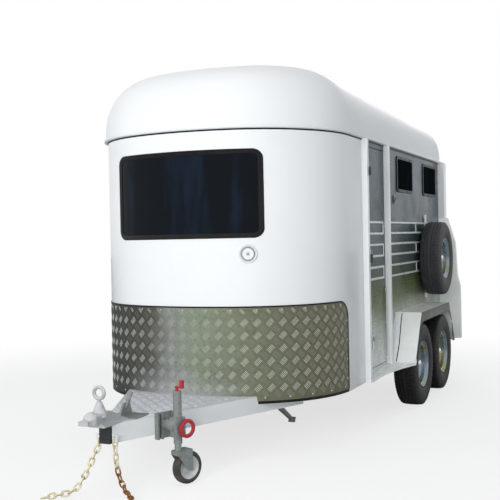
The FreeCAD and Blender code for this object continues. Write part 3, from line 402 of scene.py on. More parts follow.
def joined(shapes):
    """Several shapes as one: each one's faces count on from the points before them."""
    whole = Shape()
    for shape in shapes:
        whole.points += shape.points
        whole.marks += shape.marks
        whole.faces += [faces + whole.count for faces in shape.faces]
        whole.count += shape.count
    return whole


# Finishes

class Num:
    """A number or colour that a net of nodes works out. Arithmetic on numbers adds Math nodes."""

    def __init__(self, net, socket):
        self.net = net
        self.socket = socket

    def math(self, operation, a, b=0.0):
        """One step of arithmetic on one or two numbers."""
        return self.net.node("ShaderNodeMath", {"operation": operation}, {0: a, 1: b})

    def __add__(self, other):
        return self.math("ADD", self, other)

    def __sub__(self, other):
        return self.math("SUBTRACT", self, other)

    def __rsub__(self, other):
        return self.math("SUBTRACT", other, self)

    def __mul__(self, other):
        return self.math("MULTIPLY", self, other)

    __radd__ = __add__
    __rmul__ = __mul__


class Net:
    """The nodes of a material or of the world."""

    def __init__(self, tree):
        self.tree = tree
        tree.nodes.clear()

    def node(self, kind, settings=None, inputs=None, output=0):
        """Any node: its settings first, then the values or links of its sockets.

        Gives the named output, or the node itself where output is None.
        """
        made = self.tree.nodes.new(kind)
        for key, value in (settings or {}).items():
            if key == "stops":
                ramp = made.color_ramp
                while len(ramp.elements) < len(value):
                    ramp.elements.new(0.5)
                for element, (position, colour) in zip(ramp.elements, value):
                    element.position = position
                    element.color = (*colour, 1.0)
            else:
                setattr(made, key, value)
        for key, value in (inputs or {}).items():
            self.feed(made.inputs[key], value)
        return made if output is None else Num(self, made.outputs[output])

    def feed(self, socket, value):
        """Links a number that nodes work out to a socket, or sets the socket's own value."""
        if isinstance(value, Num):
            self.tree.links.new(value.socket, socket)
        elif socket.type == "RGBA" and len(value) == 3:
            socket.default_value = (*value, 1.0)
        else:
            socket.default_value = value


class Look(Net):
    """One finish: a material with a Principled shader and patterns in the piece's own place."""

    def __init__(self, name):
        self.material = bpy.data.materials.new(name)
        self.material.use_nodes = True
        super().__init__(self.material.node_tree)
        self.shader = self.node("ShaderNodeBsdfPrincipled", output=None)
        self.surface = Num(self, self.shader.outputs[0])
        self.end = self.node("ShaderNodeOutputMaterial", None, {0: self.surface}, None)
        self.place = self.node("ShaderNodeTexCoord", output="Object")

    def set(self, **values):
        """Values or links of the shader's own sockets, named with underscores for spaces."""
        for key, value in values.items():
            self.feed(self.shader.inputs[key.replace("_", " ")], value)

    def stretched(self, scale):
        """The piece's own place, scaled along each axis."""
        return self.node("ShaderNodeMapping", None, {"Vector": self.place, "Scale": scale})

    def cloud(self, scale, detail=3.0, rough=0.55, where=None, warp=0.0):
        """Soft noise from 0 to 1."""
        return self.node("ShaderNodeTexNoise", None, {
            "Vector": where or self.place, "Scale": scale, "Detail": detail,
            "Roughness": rough, "Distortion": warp,
        })

    def cells(self, scale, feature="F1", output="Distance"):
        """Cells about scattered points: how far the nearest point is, or the cell's colour."""
        inputs = {"Vector": self.place, "Scale": scale}
        return self.node("ShaderNodeTexVoronoi", {"feature": feature}, inputs, output)

    def span(self, value, low, high, to_low=0.0, to_high=1.0):
        """Smooth step of a number from one range to another, held at both ends."""
        return self.node("ShaderNodeMapRange", {"interpolation_type": "SMOOTHSTEP"}, {
            "Value": value, "From Min": low, "From Max": high, "To Min": to_low, "To Max": to_high,
        })

    def mix(self, share, first, second):
        """From the first colour at share 0 to the second at share 1."""
        return self.node("ShaderNodeMix", {"data_type": "RGBA"}, {0: share, 6: first, 7: second}, 2)

    def ramp(self, value, stops):
        """A colour for a number from 0 to 1, blended between stops."""
        return self.node("ShaderNodeValToRGB", {"stops": stops}, {0: value})

    def axis(self, name):
        """How far along an axis a point lies."""
        return self.node("ShaderNodeSeparateXYZ", None, {0: self.place}, name)

    def size_of(self, name):
        """How far a point lies from the middle along an axis, on either side."""
        return self.place.math("ABSOLUTE", self.axis(name))

    def mark(self):
        """The number that a shape gave each of its points."""
        return self.node("ShaderNodeAttribute", {"attribute_name": "mark"}, output="Fac")

    def bump(self, height, distance, strength=1.0, normal=None):
        """The surface's direction, tilted by the slope of a height that spans a distance."""
        inputs = {"Height": height, "Distance": distance, "Strength": strength}
        if normal is not None:
            inputs["Normal"] = normal
        return self.node("ShaderNodeBump", None, inputs)


def tinted(colour, share):
    """A colour made darker or lighter by a share."""
    return tuple(min(1.0, c * share) for c in colour)


def gloss_paint(look, colour, rough, coat, fittings=False):
    """Sprayed or moulded gloss: faint orange peel, broad uneven tone and a little road dust.

    With fittings, what stands further out than the posts' faces, such as a knuckle, is bare zinc.
    """
    broad = look.cloud(1.7, 4.0)
    runs = look.cloud(3.0, 5.0, where=look.stretched((9.0, 9.0, 0.7)))
    low = look.span(look.axis("Z"), 0.9, 0.25) * look.span(look.cloud(6.0, 6.0), 0.35, 0.75)
    dust = look.span(runs, 0.55, 0.85) * 0.2 + low * 0.8
    clean = look.mix(broad, tinted(colour, 0.975), tinted(colour, 1.02))
    if fittings:
        knuckle = look.span(look.size_of("X"), 0.9112, 0.9118) * look.span(look.axis("Y"), 1.1, 1.0)
        clean = look.mix(knuckle, clean, (0.17, 0.19, 0.20))
    look.set(
        Base_Color=look.mix(dust * 0.22, clean, (0.42, 0.40, 0.35)),
        Roughness=look.cloud(5.0, 3.0) * 0.06 + dust * 0.1 + (rough - 0.03),
        Coat_Weight=coat,
        Coat_Roughness=0.08,
        Normal=look.bump(look.cloud(260.0, 2.0), 0.0004, 0.12),
    )


def satin_paint(look, colour, rough=0.42, metal=0.0):
    """Brushed or sprayed chassis paint with stone chips, edge rust and dull patches."""
    broad = look.cloud(5.0, 5.0)
    chip = look.span(look.cloud(85.0, 5.0, 0.7), 0.66, 0.74) * look.span(look.cloud(4.0), 0.42, 0.7)
    body = look.mix(broad, tinted(colour, 0.86), tinted(colour, 1.08))
    look.set(
        Base_Color=look.mix(chip * 0.5, body, (0.13, 0.085, 0.06)),
        Metallic=metal,
        Roughness=look.cloud(30.0, 4.0) * 0.22 + (rough - 0.1) + chip * 0.2,
        Normal=look.bump(look.cloud(180.0, 4.0) - chip * 0.6, 0.0006, 0.25),
    )


def wall_sheet(look, colour):
    """Bright rolled sheet of the walls and doors.

    Its tone runs with height from pale at the foot over olive to blue-grey, pushed about by
    noise: a painted reflection and shade. What stands proud of the sheet, such as the pressed
    ribs, is brighter: a painted highlight.
    """
    push = look.cloud(1.0, 3.0, 0.5, where=look.stretched((2.2, 2.2, 0.9)), warp=0.4)
    blot = look.cloud(3.4, 5.0, 0.6, warp=0.5)
    height = look.axis("Z") + push * 0.34 + blot * 0.10 - 0.22
    # painted reflection and shade: pale at the foot, then olive, then blue-grey up high
    tone = look.ramp(look.span(height, 0.36, 2.05), (
        (0.02, (0.66, 0.70, 0.67)), (0.11, (0.42, 0.47, 0.41)), (0.20, (0.20, 0.235, 0.12)),
        (0.31, (0.105, 0.132, 0.050)), (0.40, (0.060, 0.092, 0.070)), (0.58, (0.036, 0.064, 0.062)),
        (0.80, (0.034, 0.062, 0.080)), (1.0, (0.052, 0.086, 0.108)),
    ))
    lines = look.cloud(1.0, 3.0, where=look.stretched((2.0, 2.0, 220.0)))
    # the ribs stand proud of the skin, and lie only behind the second post; their brighter colour is a
    # painted highlight
    proud = look.span(look.size_of("X"), BODY_HALF + 0.0015, BODY_HALF + 0.0045)
    proud = proud * look.span(look.axis("Y"), -0.171, -0.169)
    smear = look.span(blot, 0.42, 0.7)
    sheet = look.mix(smear * 0.25, tone, colour)
    look.set(
        Base_Color=look.mix(proud, sheet, (0.80, 0.84, 0.83)),
        Metallic=0.35,
        Specular_IOR_Level=0.2,
        Roughness=smear * 0.12 + lines * 0.12 + 0.22,
        Normal=look.bump(lines, 0.0002, 0.15, look.bump(look.cloud(1.6, 1.0), 0.012, 0.2)),
    )


def tread_plate(look, colour, tones=None, metal=0.55):
    """Tread plate: bars of one direction get a painted glint, the others and the floor between them
    are duller.

    The floor's tone, a painted shade and reflection, runs across the trailer from dark blue-grey
    over pale green-grey to brown, pushed about by noise, and has a painted highlight low down in
    the middle.
    """
    glint_mark = look.mark()
    cloud = look.cloud(2.6, 4.0, 0.6)
    speck = look.span(look.cloud(60.0, 4.0), 0.45, 0.75)
    across = look.axis("X") + (cloud - 0.5) * 0.7
    # painted shade and reflection: dark towards -X, pale in the middle, brown-grey towards +X
    tone = look.ramp(look.span(across, -1.0, 1.0), tones or (
        (0.0, (0.018, 0.020, 0.018)), (0.12, (0.048, 0.047, 0.042)), (0.30, (0.115, 0.110, 0.094)),
        (0.45, (0.30, 0.325, 0.30)), (0.60, (0.28, 0.330, 0.235)), (0.80, (0.185, 0.200, 0.130)),
        (1.0, (0.160, 0.154, 0.102)),
    ))
    # painted highlight: paler low down in the middle
    painted_glow = look.span(look.axis("Z") + cloud * 0.2, 0.66, 0.44) * look.span(look.size_of("X"), 0.5, 0.1)
    floor = look.mix(speck * 0.3, look.mix(painted_glow * 0.62, tone, (0.60, 0.62, 0.66)), (0.05, 0.05, 0.045))
    dull = look.mix(look.span(glint_mark, 0.0, 0.4) * 0.4, floor, colour)
    # painted glint: bright crests on the bars of one direction, stronger towards both sides
    bright = look.mix(look.cloud(5.0, 3.0), tinted(colour, 1.9), tinted(colour, 2.9))
    crest = look.span(glint_mark, 0.42, 0.85)
    near = look.mix(crest * look.span(across, 0.05, 0.40, 0.34), dull, bright)
    look.set(
        Base_Color=look.mix(crest * look.span(across, -0.18, -0.42), near, tinted(colour, 1.9)),
        Metallic=metal,
        Roughness=(1.0 - glint_mark) * 0.16 + speck * 0.12 + 0.22,
        Normal=look.bump(look.cloud(140.0, 4.0), 0.0003, 0.3),
    )


def mudguard_sheet(look, colour):
    """Bright folded sheet: nearly white slopes and top; the upright outer faces are dull and dark, a
    painted shade that is darkest low down.
    """
    smear = look.span(look.cloud(3.2, 5.0, 0.6, warp=0.5), 0.4, 0.72)
    lines = look.cloud(1.0, 3.0, where=look.stretched((2.0, 200.0, 200.0)))
    # the outer faces lie furthest out, behind the foot of the front slope; they get a painted shade
    outer = look.span(look.size_of("X"), 1.0790, 1.0805) * look.span(look.axis("Y"), 0.342, 0.352)
    shade = look.span(look.axis("Z") + look.cloud(4.0) * 0.08, 0.66, 0.76)
    dark = look.mix(shade, (0.014, 0.020, 0.023), (0.085, 0.098, 0.060))
    bright = look.mix(smear * 0.6, colour, tinted(colour, 0.72))
    look.set(
        Base_Color=look.mix(outer, bright, dark),
        Metallic=0.08,
        Roughness=smear * 0.14 + lines * 0.1 + 0.22,
        Normal=look.bump(lines, 0.0002, 0.15, look.bump(look.cloud(2.4, 1.0), 0.008, 0.2)),
    )


def wheel_metal(look, colour):
    """Wheel paint with a painted reflection: broad olive and blue-grey patches stand for grass above and
    sky below mirrored in it, and a bright hub.
    """
    broad = look.span(look.cloud(4.5, 2.0, 0.5), 0.42, 0.58)
    stain = look.span(look.cloud(26.0, 5.0), 0.5, 0.75)
    # painted reflection: olive for grass, blue-grey for sky
    tone = look.mix(broad, (0.27, 0.28, 0.14), (0.25, 0.31, 0.37))
    hub = look.span(look.mark(), 1.4, 1.6)
    look.set(
        Base_Color=look.mix(hub, look.mix(stain * 0.4, tone, (0.06, 0.06, 0.05)), colour),
        Metallic=0.7,
        Roughness=stain * 0.2 + 0.24,
        Normal=look.bump(look.cloud(160.0, 3.0), 0.0003, 0.25),
    )


def galvanised(look, colour):
    """Hot-dipped zinc: patches of spangle in slightly different greys, drips and white bloom."""
    tone = look.node("ShaderNodeRGBToBW", None, {0: look.cells(70.0, output="Color")})
    bloom = look.span(look.cloud(9.0, 5.0, 0.65), 0.5, 0.8)
    grey = look.mix(tone, tinted(colour, 0.78), tinted(colour, 1.15))
    look.set(
        Base_Color=look.mix(bloom * 0.5, grey, tinted(colour, 1.25)),
        Metallic=0.55,
        Roughness=tone * 0.18 + bloom * 0.15 + 0.35,
        Normal=look.bump(look.cloud(120.0, 4.0), 0.0005, 0.3),
    )


def cast_metal(look, colour):
    """Plated casting: sandy skin, darker hollows and rubbed high spots."""
    skin = look.cloud(240.0, 5.0, 0.7)
    stain = look.span(look.cloud(14.0, 5.0), 0.48, 0.8)
    look.set(
        Base_Color=look.mix(stain * 0.6, colour, tinted(colour, 0.5)),
        Metallic=0.5,
        Roughness=skin * 0.25 + stain * 0.15 + 0.28,
        Normal=look.bump(skin, 0.0007, 0.4),
    )


def chain_zinc(look, colour):
    """Yellow-passivated chain: pale zinc rubbed on the links' crowns, brown rust near the ground."""
    stain = look.span(look.cloud(22.0, 5.0), 0.42, 0.72)
    low = look.span(look.axis("Z"), 0.20, 0.06) * look.span(look.axis("X"), 0.0, 0.06)
    rust = look.span(look.cloud(14.0, 4.0) + low * 0.28, 0.58, 0.70)
    zinc = look.mix(stain * 0.7, colour, (0.42, 0.36, 0.17))
    look.set(
        Base_Color=look.mix(rust, zinc, (0.28, 0.12, 0.035)),
        Metallic=0.35,
        Roughness=rust * 0.35 + stain * 0.1 + 0.3,
        Normal=look.bump(look.cloud(260.0, 4.0), 0.0004, 0.4),
    )


def dark_pane(look, colour, shine=0.07):
    """Tinted acrylic: nearly black, very glossy, with faint upright wiping streaks and rain spots."""
    haze = look.span(look.cloud(1.0, 4.0, 0.6, where=look.stretched((7.0, 7.0, 1.2))), 0.48, 0.72)
    spots = look.span(look.cloud(70.0, 3.0), 0.62, 0.72)
    look.set(
        Base_Color=look.mix(haze * 0.8 + spots * 0.1, colour, (0.008, 0.016, 0.032)),
        Roughness=haze * 0.05 + spots * 0.12 + 0.05,
        Specular_IOR_Level=shine,
        Normal=look.bump(look.cloud(1.5, 1.0), 0.004, 0.15),
    )


def rubber(look, colour, rough=0.62, dusty=0.4, shine=0.5):
    """Moulded rubber: fine grain, grey bloom and pale dust in patches."""
    dust = look.span(look.cloud(11.0, 5.0, 0.62), 0.42, 0.78)
    look.set(
        Base_Color=look.mix(dust * dusty, colour, (0.12, 0.105, 0.09)),
        Roughness=dust * 0.18 + look.cloud(40.0) * 0.12 + (rough - 0.08),
        Specular_IOR_Level=shine,
        Normal=look.bump(look.cloud(320.0, 4.0), 0.0005, 0.35),
    )


def moulded(look, colour):
    """Injection-moulded plastic with a light grain, faint handling marks and darker places that its shape
    marks.
    """
    marks = look.span(look.cloud(20.0, 4.0), 0.45, 0.8)
    clean = look.mix(marks * 0.2, colour, tinted(colour, 0.9))
    look.set(
        Base_Color=look.mix(look.mark(), clean, (0.16, 0.17, 0.17)),
        Roughness=marks * 0.16 + 0.34,
        Normal=look.bump(look.cloud(300.0, 3.0), 0.0003, 0.25),
    )


def padding(look, colour):
    """Grained vinyl over foam: leather-like pebbles and rubbed, shinier patches."""
    rubbed = look.span(look.cloud(8.0, 4.0), 0.4, 0.75)
    look.set(
        Base_Color=look.mix(rubbed * 0.5, colour, tinted(colour, 1.5)),
        Roughness=0.62 - rubbed * 0.18,
        Normal=look.bump(look.cells(420.0, "SMOOTH_F1"), 0.0012, 0.5),
    )


def sealed_board(look, colour):
    """Sealed plywood: long grain, darker knots and a scuffed varnish."""
    grain = look.cloud(2.0, 7.0, 0.62, where=look.stretched((40.0, 1.6, 40.0)), warp=0.8)
    scuff = look.span(look.cloud(12.0, 4.0), 0.5, 0.75)
    look.set(
        Base_Color=look.mix(look.span(grain, 0.3, 0.7), tinted(colour, 0.55), tinted(colour, 1.2)),
        Roughness=scuff * 0.25 + 0.38,
        Normal=look.bump(grain, 0.001, 0.35),
    )


def lens(look, colour):
    """Ribbed lamp lens: clear over its reflector, in red, amber and clear by height."""
    height = look.axis("Z")
    low = look.span(height, 0.605, 0.615)
    high = look.span(height, 0.705, 0.715)
    along = {"Vector": look.place, "Scale": 55.0}
    ribs = look.node("ShaderNodeTexWave", {"bands_direction": "Z"}, along, "Fac")
    tint = look.mix(high, look.mix(low, (0.72, 0.72, 0.70), (0.85, 0.26, 0.02)), colour)
    look.set(
        Base_Color=look.mix(ribs * 0.175, tint, (0.0, 0.0, 0.0)),
        Roughness=ribs * 0.1 + 0.08,
        Coat_Weight=0.8,
        Coat_Roughness=0.04,
        Normal=look.bump(ribs, 0.001, 0.4),
    )


# slot: how it is made, its colour, and any other numbers
FINISHES = {
    "white_gelcoat": (gloss_paint, (0.84, 0.865, 0.875), {"rough": 0.4, "coat": 0.05}),
    "white_paint": (gloss_paint, (0.84, 0.865, 0.88), {"rough": 0.3, "coat": 0.2}),
    # the posts' white is brighter than the body's: a painted highlight for their sunlit front faces
    "post_paint": (gloss_paint, (0.93, 0.95, 0.96), {"rough": 0.3, "coat": 0.2, "fittings": True}),
    "silver_paint": (satin_paint, (0.80, 0.83, 0.85), {"metal": 0.05}),
    "grey_paint": (satin_paint, (0.90, 0.93, 0.89), {"rough": 0.4}),
    "black_steel": (satin_paint, (0.03, 0.03, 0.032), {"metal": 0.2}),
    "red_paint": (satin_paint, (0.42, 0.018, 0.03), {"rough": 0.32}),
    "yellow_zinc": (chain_zinc, (0.80, 0.74, 0.50), {}),
    "cast_coupling": (cast_metal, (0.58, 0.60, 0.61), {}),
    "aluminium_sheet": (wall_sheet, (0.12, 0.16, 0.175), {}),
    "polished_aluminium": (mudguard_sheet, (0.94, 0.96, 0.96), {}),
    "silver_rim": (wheel_metal, (0.80, 0.83, 0.86), {}),
    "checker_plate": (tread_plate, (0.33, 0.35, 0.31), {}),
    # the deck's tread is a paler copy of the guard's: its pale tones are painted sunlight
    "deck_tread": (tread_plate, (0.44, 0.44, 0.46), {"metal": 0.1, "tones": (
        (0.0, (0.62, 0.63, 0.66)), (0.5, (0.74, 0.75, 0.80)), (1.0, (0.66, 0.68, 0.70)),
    )}),
    "galvanised_steel": (galvanised, (0.28, 0.31, 0.30), {}),
    "dark_acrylic": (dark_pane, (0.004, 0.006, 0.009), {}),
    "side_acrylic": (dark_pane, (0.006, 0.009, 0.008), {"shine": 0.0}),
    "black_rubber": (rubber, (0.006, 0.006, 0.007), {"rough": 0.4, "dusty": 0.06, "shine": 0.25}),
    # painted shade: the road tyres are a darker copy of the spare's rubber
    "tyre_rubber": (rubber, (0.008, 0.008, 0.009), {"dusty": 0.12}),
    "spare_rubber": (rubber, (0.034, 0.035, 0.040), {}),
    "hard_rubber": (rubber, (0.035, 0.035, 0.036), {"dusty": 0.6}),
    "white_plastic": (moulded, (0.83, 0.85, 0.86), {}),
    "grey_padding": (padding, (0.05, 0.052, 0.056), {}),
    "floor_board": (sealed_board, (0.12, 0.085, 0.055), {}),
    "lamp_lens": (lens, (0.55, 0.01, 0.012), {}),
}
# finish: the record's slot that it stands in
made_finishes = {}


def finish(slot):
    """The material of a slot, made the first time that it is asked for."""
    if slot not in made_finishes:
        maker, colour, numbers = FINISHES[slot]
        look = Look(slot)
        tint = getattr(bpy.context.scene.trailer_colours, slot, None)
        maker(look, tuple(tint) if tint else colour, **numbers)
        made_finishes[slot] = look.material
    return made_finishes[slot]


# Pieces

def nose_panel():
    """The white nose: a sheet on the plan from door to door, open at the window and over the arms."""
    end, notch = round_at_y(DOOR_FRONT), arm_meets_nose()
    side = round_at_x(sizes().window_half - 0.020)
    low, high = WINDOW_LOW + 0.005, WINDOW_HIGH - 0.005
    columns = np.unique(np.concatenate([
        np.linspace(-end, -side, 60), np.linspace(-side, side, 70), np.linspace(side, end, 60),
        [-notch, notch],
    ]))
    rows = np.unique(np.concatenate([
        [SKIRT_Z, ARM_TOP], np.linspace(0.42, low, 14), np.linspace(low, high, 8), [RAIL_Z],
    ]))

    def kept(s, z):
        glass = (np.abs(s) < side) & (z > low) & (z < high)
        return ~glass & ~((np.abs(s) < notch) & (z < ARM_TOP))

    skin = gapped_sheet(columns, rows, kept, 0.0, -WALL)
    piece("nose_skin", skin, "white_paint", replaces=("nose_panel",))


def front_window():
    """The dark pane flush in the nose and the rubber bead swept round its edge.

    The pane is a grid on the body's plan with a back at a pane's thickness. The bead's profile
    goes round a rectangle with rounded corners, measured straight across the nose.
    """
    half = sizes().window_half
    side = float(round_at_x(half - 0.021))
    rows = np.linspace(WINDOW_LOW + 0.006, WINDOW_HIGH - 0.006, 6)
    pane = gapped_sheet(np.linspace(-side, side, 80), rows, lambda s, z: s > -9, 0.0, -0.006)
    piece("window_pane", pane, "dark_acrylic", replaces=("front_window",))
    outline = rounded_rect(-half + 0.015, half - 0.015, WINDOW_LOW, WINDOW_HIGH, 0.045)
    bead = mm(((-15, 0), (-15, 4), (-11, 7), (-4, 6.2), (3, 4.5), (10, 5), (15, 2.5), (15, 0)))
    seal = swept(outline, bead, lambda x, z, out: on_body(round_at_x(x), z, out), True)
    piece("window_bead", seal, "black_rubber", replaces=("front_window_seal",))


def tread_layout(a0, a1, b0, b1, inside):
    """Centres and angles of tread bars: groups of five side by side, each group square to the next.

    Groups stand at the points and at the middles of a square net, turned 45 degrees.
    """
    pitch, gap = sizes().tread_pitch, sizes().tread_pitch / 8.2
    centres, turns = [], []
    for shift, angle in ((0.0, 135.0), (pitch / 2, 45.0)):
        a, b = np.meshgrid(np.arange(a0 - pitch, a1 + pitch, pitch) + shift,
                           np.arange(b0 - pitch, b1 + pitch, pitch) + shift)
        turn = math.radians(angle)
        for step in np.arange(-2, 3) * gap:
            spots = np.stack([a.ravel() - math.sin(turn) * step, b.ravel() + math.cos(turn) * step], -1)
            centres.append(spots)
            turns.append(np.full(len(spots), turn))
    centres, turns = np.concatenate(centres), np.concatenate(turns)
    keep = inside(centres[:, 0], centres[:, 1])
    return centres[keep], turns[keep]


def tread_bars(a0, a1, b0, b1, inside, place):
    """Points, faces and marks of raised bars, in a flat (a, b, height) chart that place turns into space.

    A bar is a six-sided foot and a ridge of two points, turned by its angle and moved to its
    centre. Its ridge carries a painted glint mark: full on bars of one direction, less on the
    others.
    """
    centres, turns = tread_layout(a0, a1, b0, b1, inside)
    half, side = sizes().bar_length / 2, sizes().bar_width / 2
    waist = half * 0.62
    along = np.array([-half, -waist, waist, half, waist, -waist, -waist, waist])
    across = np.array([0, -side, -side, 0, side, side, 0, 0])
    cos, sin = np.cos(turns)[:, None], np.sin(turns)[:, None]
    a = centres[:, :1] + along * cos - across * sin
    b = centres[:, 1:] + along * sin + across * cos
    height = np.broadcast_to(np.array([0.0] * 6 + [sizes().bar_height] * 2), a.shape)
    start = np.arange(len(centres))[:, None, None] * 8
    fours = start + np.array([[1, 2, 7, 6], [4, 5, 6, 7], [0, 5, 4, 1], [1, 4, 3, 2]])
    threes = start + np.array([[0, 1, 6], [5, 0, 6], [2, 3, 7], [3, 4, 7]])
    # painted glint mark: 1 on the ridges of bars of one direction, 0.4 on the others
    glint_mark = (height > 0) * np.where(turns > math.pi / 2, 1.0, 0.4)[:, None]
    return place(a, b, height), [fours.reshape(-1, 4), threes.reshape(-1, 3)], glint_mark.ravel()


def domes(points, normals, radius, height, around=10):
    """Rivet heads: rings of a flattened half ball about each normal, as whole arrays."""
    normals = normals / np.linalg.norm(normals, axis=1)[:, None]
    side = np.cross(normals, [0.31, 0.17, 0.93])
    side /= np.linalg.norm(side, axis=1)[:, None]
    other = np.cross(normals, side)
    angle = np.linspace(0, 2 * math.pi, around, endpoint=False)
    reach, lift = radius * np.array([1.0, 0.94, 0.72, 0.38]), height * np.array([-0.2, 0.45, 0.8, 0.97])
    spoke = (side[:, None, None] * np.cos(angle)[None, None, :, None]
             + other[:, None, None] * np.sin(angle)[None, None, :, None])
    rings = (points[:, None, None] + spoke * reach[None, :, None, None]
             + normals[:, None, None] * lift[None, :, None, None])
    return joined([Shape().grid(ring, wrap_columns=True, cap_rows=True) for ring in rings])


def guard_rivets():
    """Rivets along the top, the upright edges and the foot of the stone guard."""
    end, inset, pitch = round_at_y(GUARD_END), 0.020, 0.16
    top = np.arange(-7, 8) * pitch
    upright = np.repeat([-end + inset, end - inset], 4)
    heights = np.tile(np.linspace(0.42, 0.80, 4), 2)
    foot = np.arange(arm_meets_nose() + 0.05, end - 0.05, pitch)
    s = np.concatenate([top, upright, -foot, foot])
    z = np.concatenate([
        np.full(len(top), GUARD_HIGH - inset), heights, np.full(2 * len(foot), GUARD_LOW + inset),
    ])
    spots = on_body(s, z, GUARD_THICK)
    heads = domes(spots, on_body(s, z, 1.0) - spots, 0.0058, 0.0030)
    piece("guard_rivets", heads, "cast_coupling", sharp=80.0)


def stone_guard():
    """The tread plate round the foot of the nose, its raised bars and the dark strip on its edge.

    The sheet fills the plan between its foot, which steps up over the arms, and its top,
    which drops by a quarter circle at each end. The strip and the hem at the foot are
    profiles carried along the edge.
    """
    end, notch = round_at_y(GUARD_END), arm_meets_nose()
    bend = end - GUARD_CORNER + GUARD_CORNER * np.sin(np.linspace(0, math.pi / 2, 14))
    columns = both_sides(np.concatenate([
        np.linspace(0, notch - 1e-4, 26), np.linspace(notch, end - GUARD_CORNER, 36), bend[1:],
    ]))
    margin, hem_z = 0.018, GUARD_LOW - 0.0085

    def top(s):
        past = np.maximum(np.abs(s) - (end - GUARD_CORNER), 0)
        return GUARD_HIGH - GUARD_CORNER + np.sqrt(np.maximum(GUARD_CORNER ** 2 - past ** 2, 0))

    def foot(s):
        return np.where(np.abs(s) < notch, ARM_TOP, GUARD_LOW)

    def inside(s, z):
        return (np.abs(s) < end - margin) & (z < top(s) - margin) & (z > foot(s) + margin)

    def raised(s, z, height):
        return on_body(s, z, GUARD_THICK - 0.0002 + height)

    sheet = bounded_sheet(columns, foot(columns), top(columns), 12, GUARD_THICK, 0.0)
    sheet.add(*tread_bars(-end, end, GUARD_LOW, GUARD_HIGH, inside, raised))
    piece("tread_guard", sheet, "checker_plate", replaces=("stone_guard",), sharp=20.0)
    edge = np.stack([columns, top(columns)], -1)
    path = np.concatenate([[[-end, GUARD_LOW]], edge, [[end, GUARD_LOW]]])
    strip = mm(((-4.5, 0), (-4.5, 5), (0, 6.2), (4.5, 5), (4.5, 0)))
    hem = mm(((-9, 0), (-9, 3.5), (0, 4.2), (8, 3.5), (8, 0)))
    lengths = [swept(path, strip, on_body, False)]
    for start, stop in ((-end, -notch - 0.004), (notch + 0.004, end)):
        foot_line = np.stack([np.linspace(start, stop, 60), np.full(60, hem_z)], -1)
        lengths.append(swept(foot_line, hem, on_body, False))
    piece("guard_strip", joined(lengths), "black_rubber")


def deck_plate():
    """The deck plate and its raised bars, between the drawbar's arms up to a plain strip at the nose."""

    def inside(x, y):
        away = np.abs(x)
        nose = NOSE_R - np.sqrt(NOSE_R ** 2 - np.minimum(away, 1.0) ** 2)
        return (y > DECK_FRONT + 0.015) & (away < arm_half(y) - 0.02) & (y < nose - 0.03) & (away < 0.7)

    def raised(x, y, height):
        return np.stack([x, y - MID_Y, ARM_TOP + DECK_THICK + height], -1)

    bars = Shape().add(*tread_bars(-0.6, 0.6, DECK_FRONT, 0.2, inside, raised))
    piece("deck_bars", bars, "deck_tread", sharp=20.0)
    refined("deck_plate", "deck_tread", 0.0008)


def roof_outline(half, corner_r, nose_r, front, end, rear_r, z):
    """One level of the roof: its plan as arcs and straights, from the nose to the tail and back."""
    lean = math.asin((half - corner_r) / (nose_r - corner_r))
    cx = (nose_r - corner_r) * math.sin(lean)
    cy = front + nose_r - (nose_r - corner_r) * math.cos(lean)
    a = np.linspace(0, lean, 14)
    b = np.linspace(lean, math.pi / 2, 26)[1:]
    c = np.linspace(0, 1, 24)[1:, None]
    d = np.linspace(0, math.pi / 2, 14)[1:]
    e = np.linspace(0, 1, 10)[1:, None]
    arc = np.stack([nose_r * np.sin(a), front + nose_r * (1 - np.cos(a))], -1)
    bend = np.stack([cx + corner_r * np.sin(b), cy - corner_r * np.cos(b)], -1)
    tail = np.array([half, end - rear_r])
    side = bend[-1] + (tail - bend[-1]) * c
    back = np.stack([half - rear_r * (1 - np.cos(d)), end - rear_r + rear_r * np.sin(d)], -1)
    rear = back[-1] + (np.array([0, end]) - back[-1]) * e
    right = np.concatenate([arc, bend, side, back, rear])
    ring = np.concatenate([right, right[-2:0:-1] * (-1, 1)])
    return np.column_stack([ring, np.full(len(ring), z)])


def through(levels, count):
    """Rows between the levels on a natural cubic spline, whose second slopes solve a banded set of sums."""
    levels = np.asarray(levels)
    flat = levels.reshape(len(levels), -1)
    steps = np.linalg.norm(np.diff(levels, axis=0), axis=2).mean(1)
    knots = np.concatenate([[0], np.cumsum(steps)])
    n = len(levels)
    sums = np.eye(n)
    right = np.zeros_like(flat)
    for i in range(1, n - 1):
        sums[i, i - 1:i + 2] = steps[i - 1], 2 * (steps[i - 1] + steps[i]), steps[i]
        right[i] = 6 * ((flat[i + 1] - flat[i]) / steps[i] - (flat[i] - flat[i - 1]) / steps[i - 1])
    bends = np.linalg.solve(sums, right)
    t = np.linspace(0, knots[-1], count)
    k = np.clip(np.searchsorted(knots, t, side="right") - 1, 0, n - 2)
    h = steps[k][:, None]
    a = (knots[k + 1] - t)[:, None] / h
    b = 1 - a
    rows = a * flat[k] + b * flat[k + 1]
    rows += ((a ** 3 - a) * bends[k] + (b ** 3 - b) * bends[k + 1]) * h ** 2 / 6
    return rows.reshape(count, *levels.shape[1:])


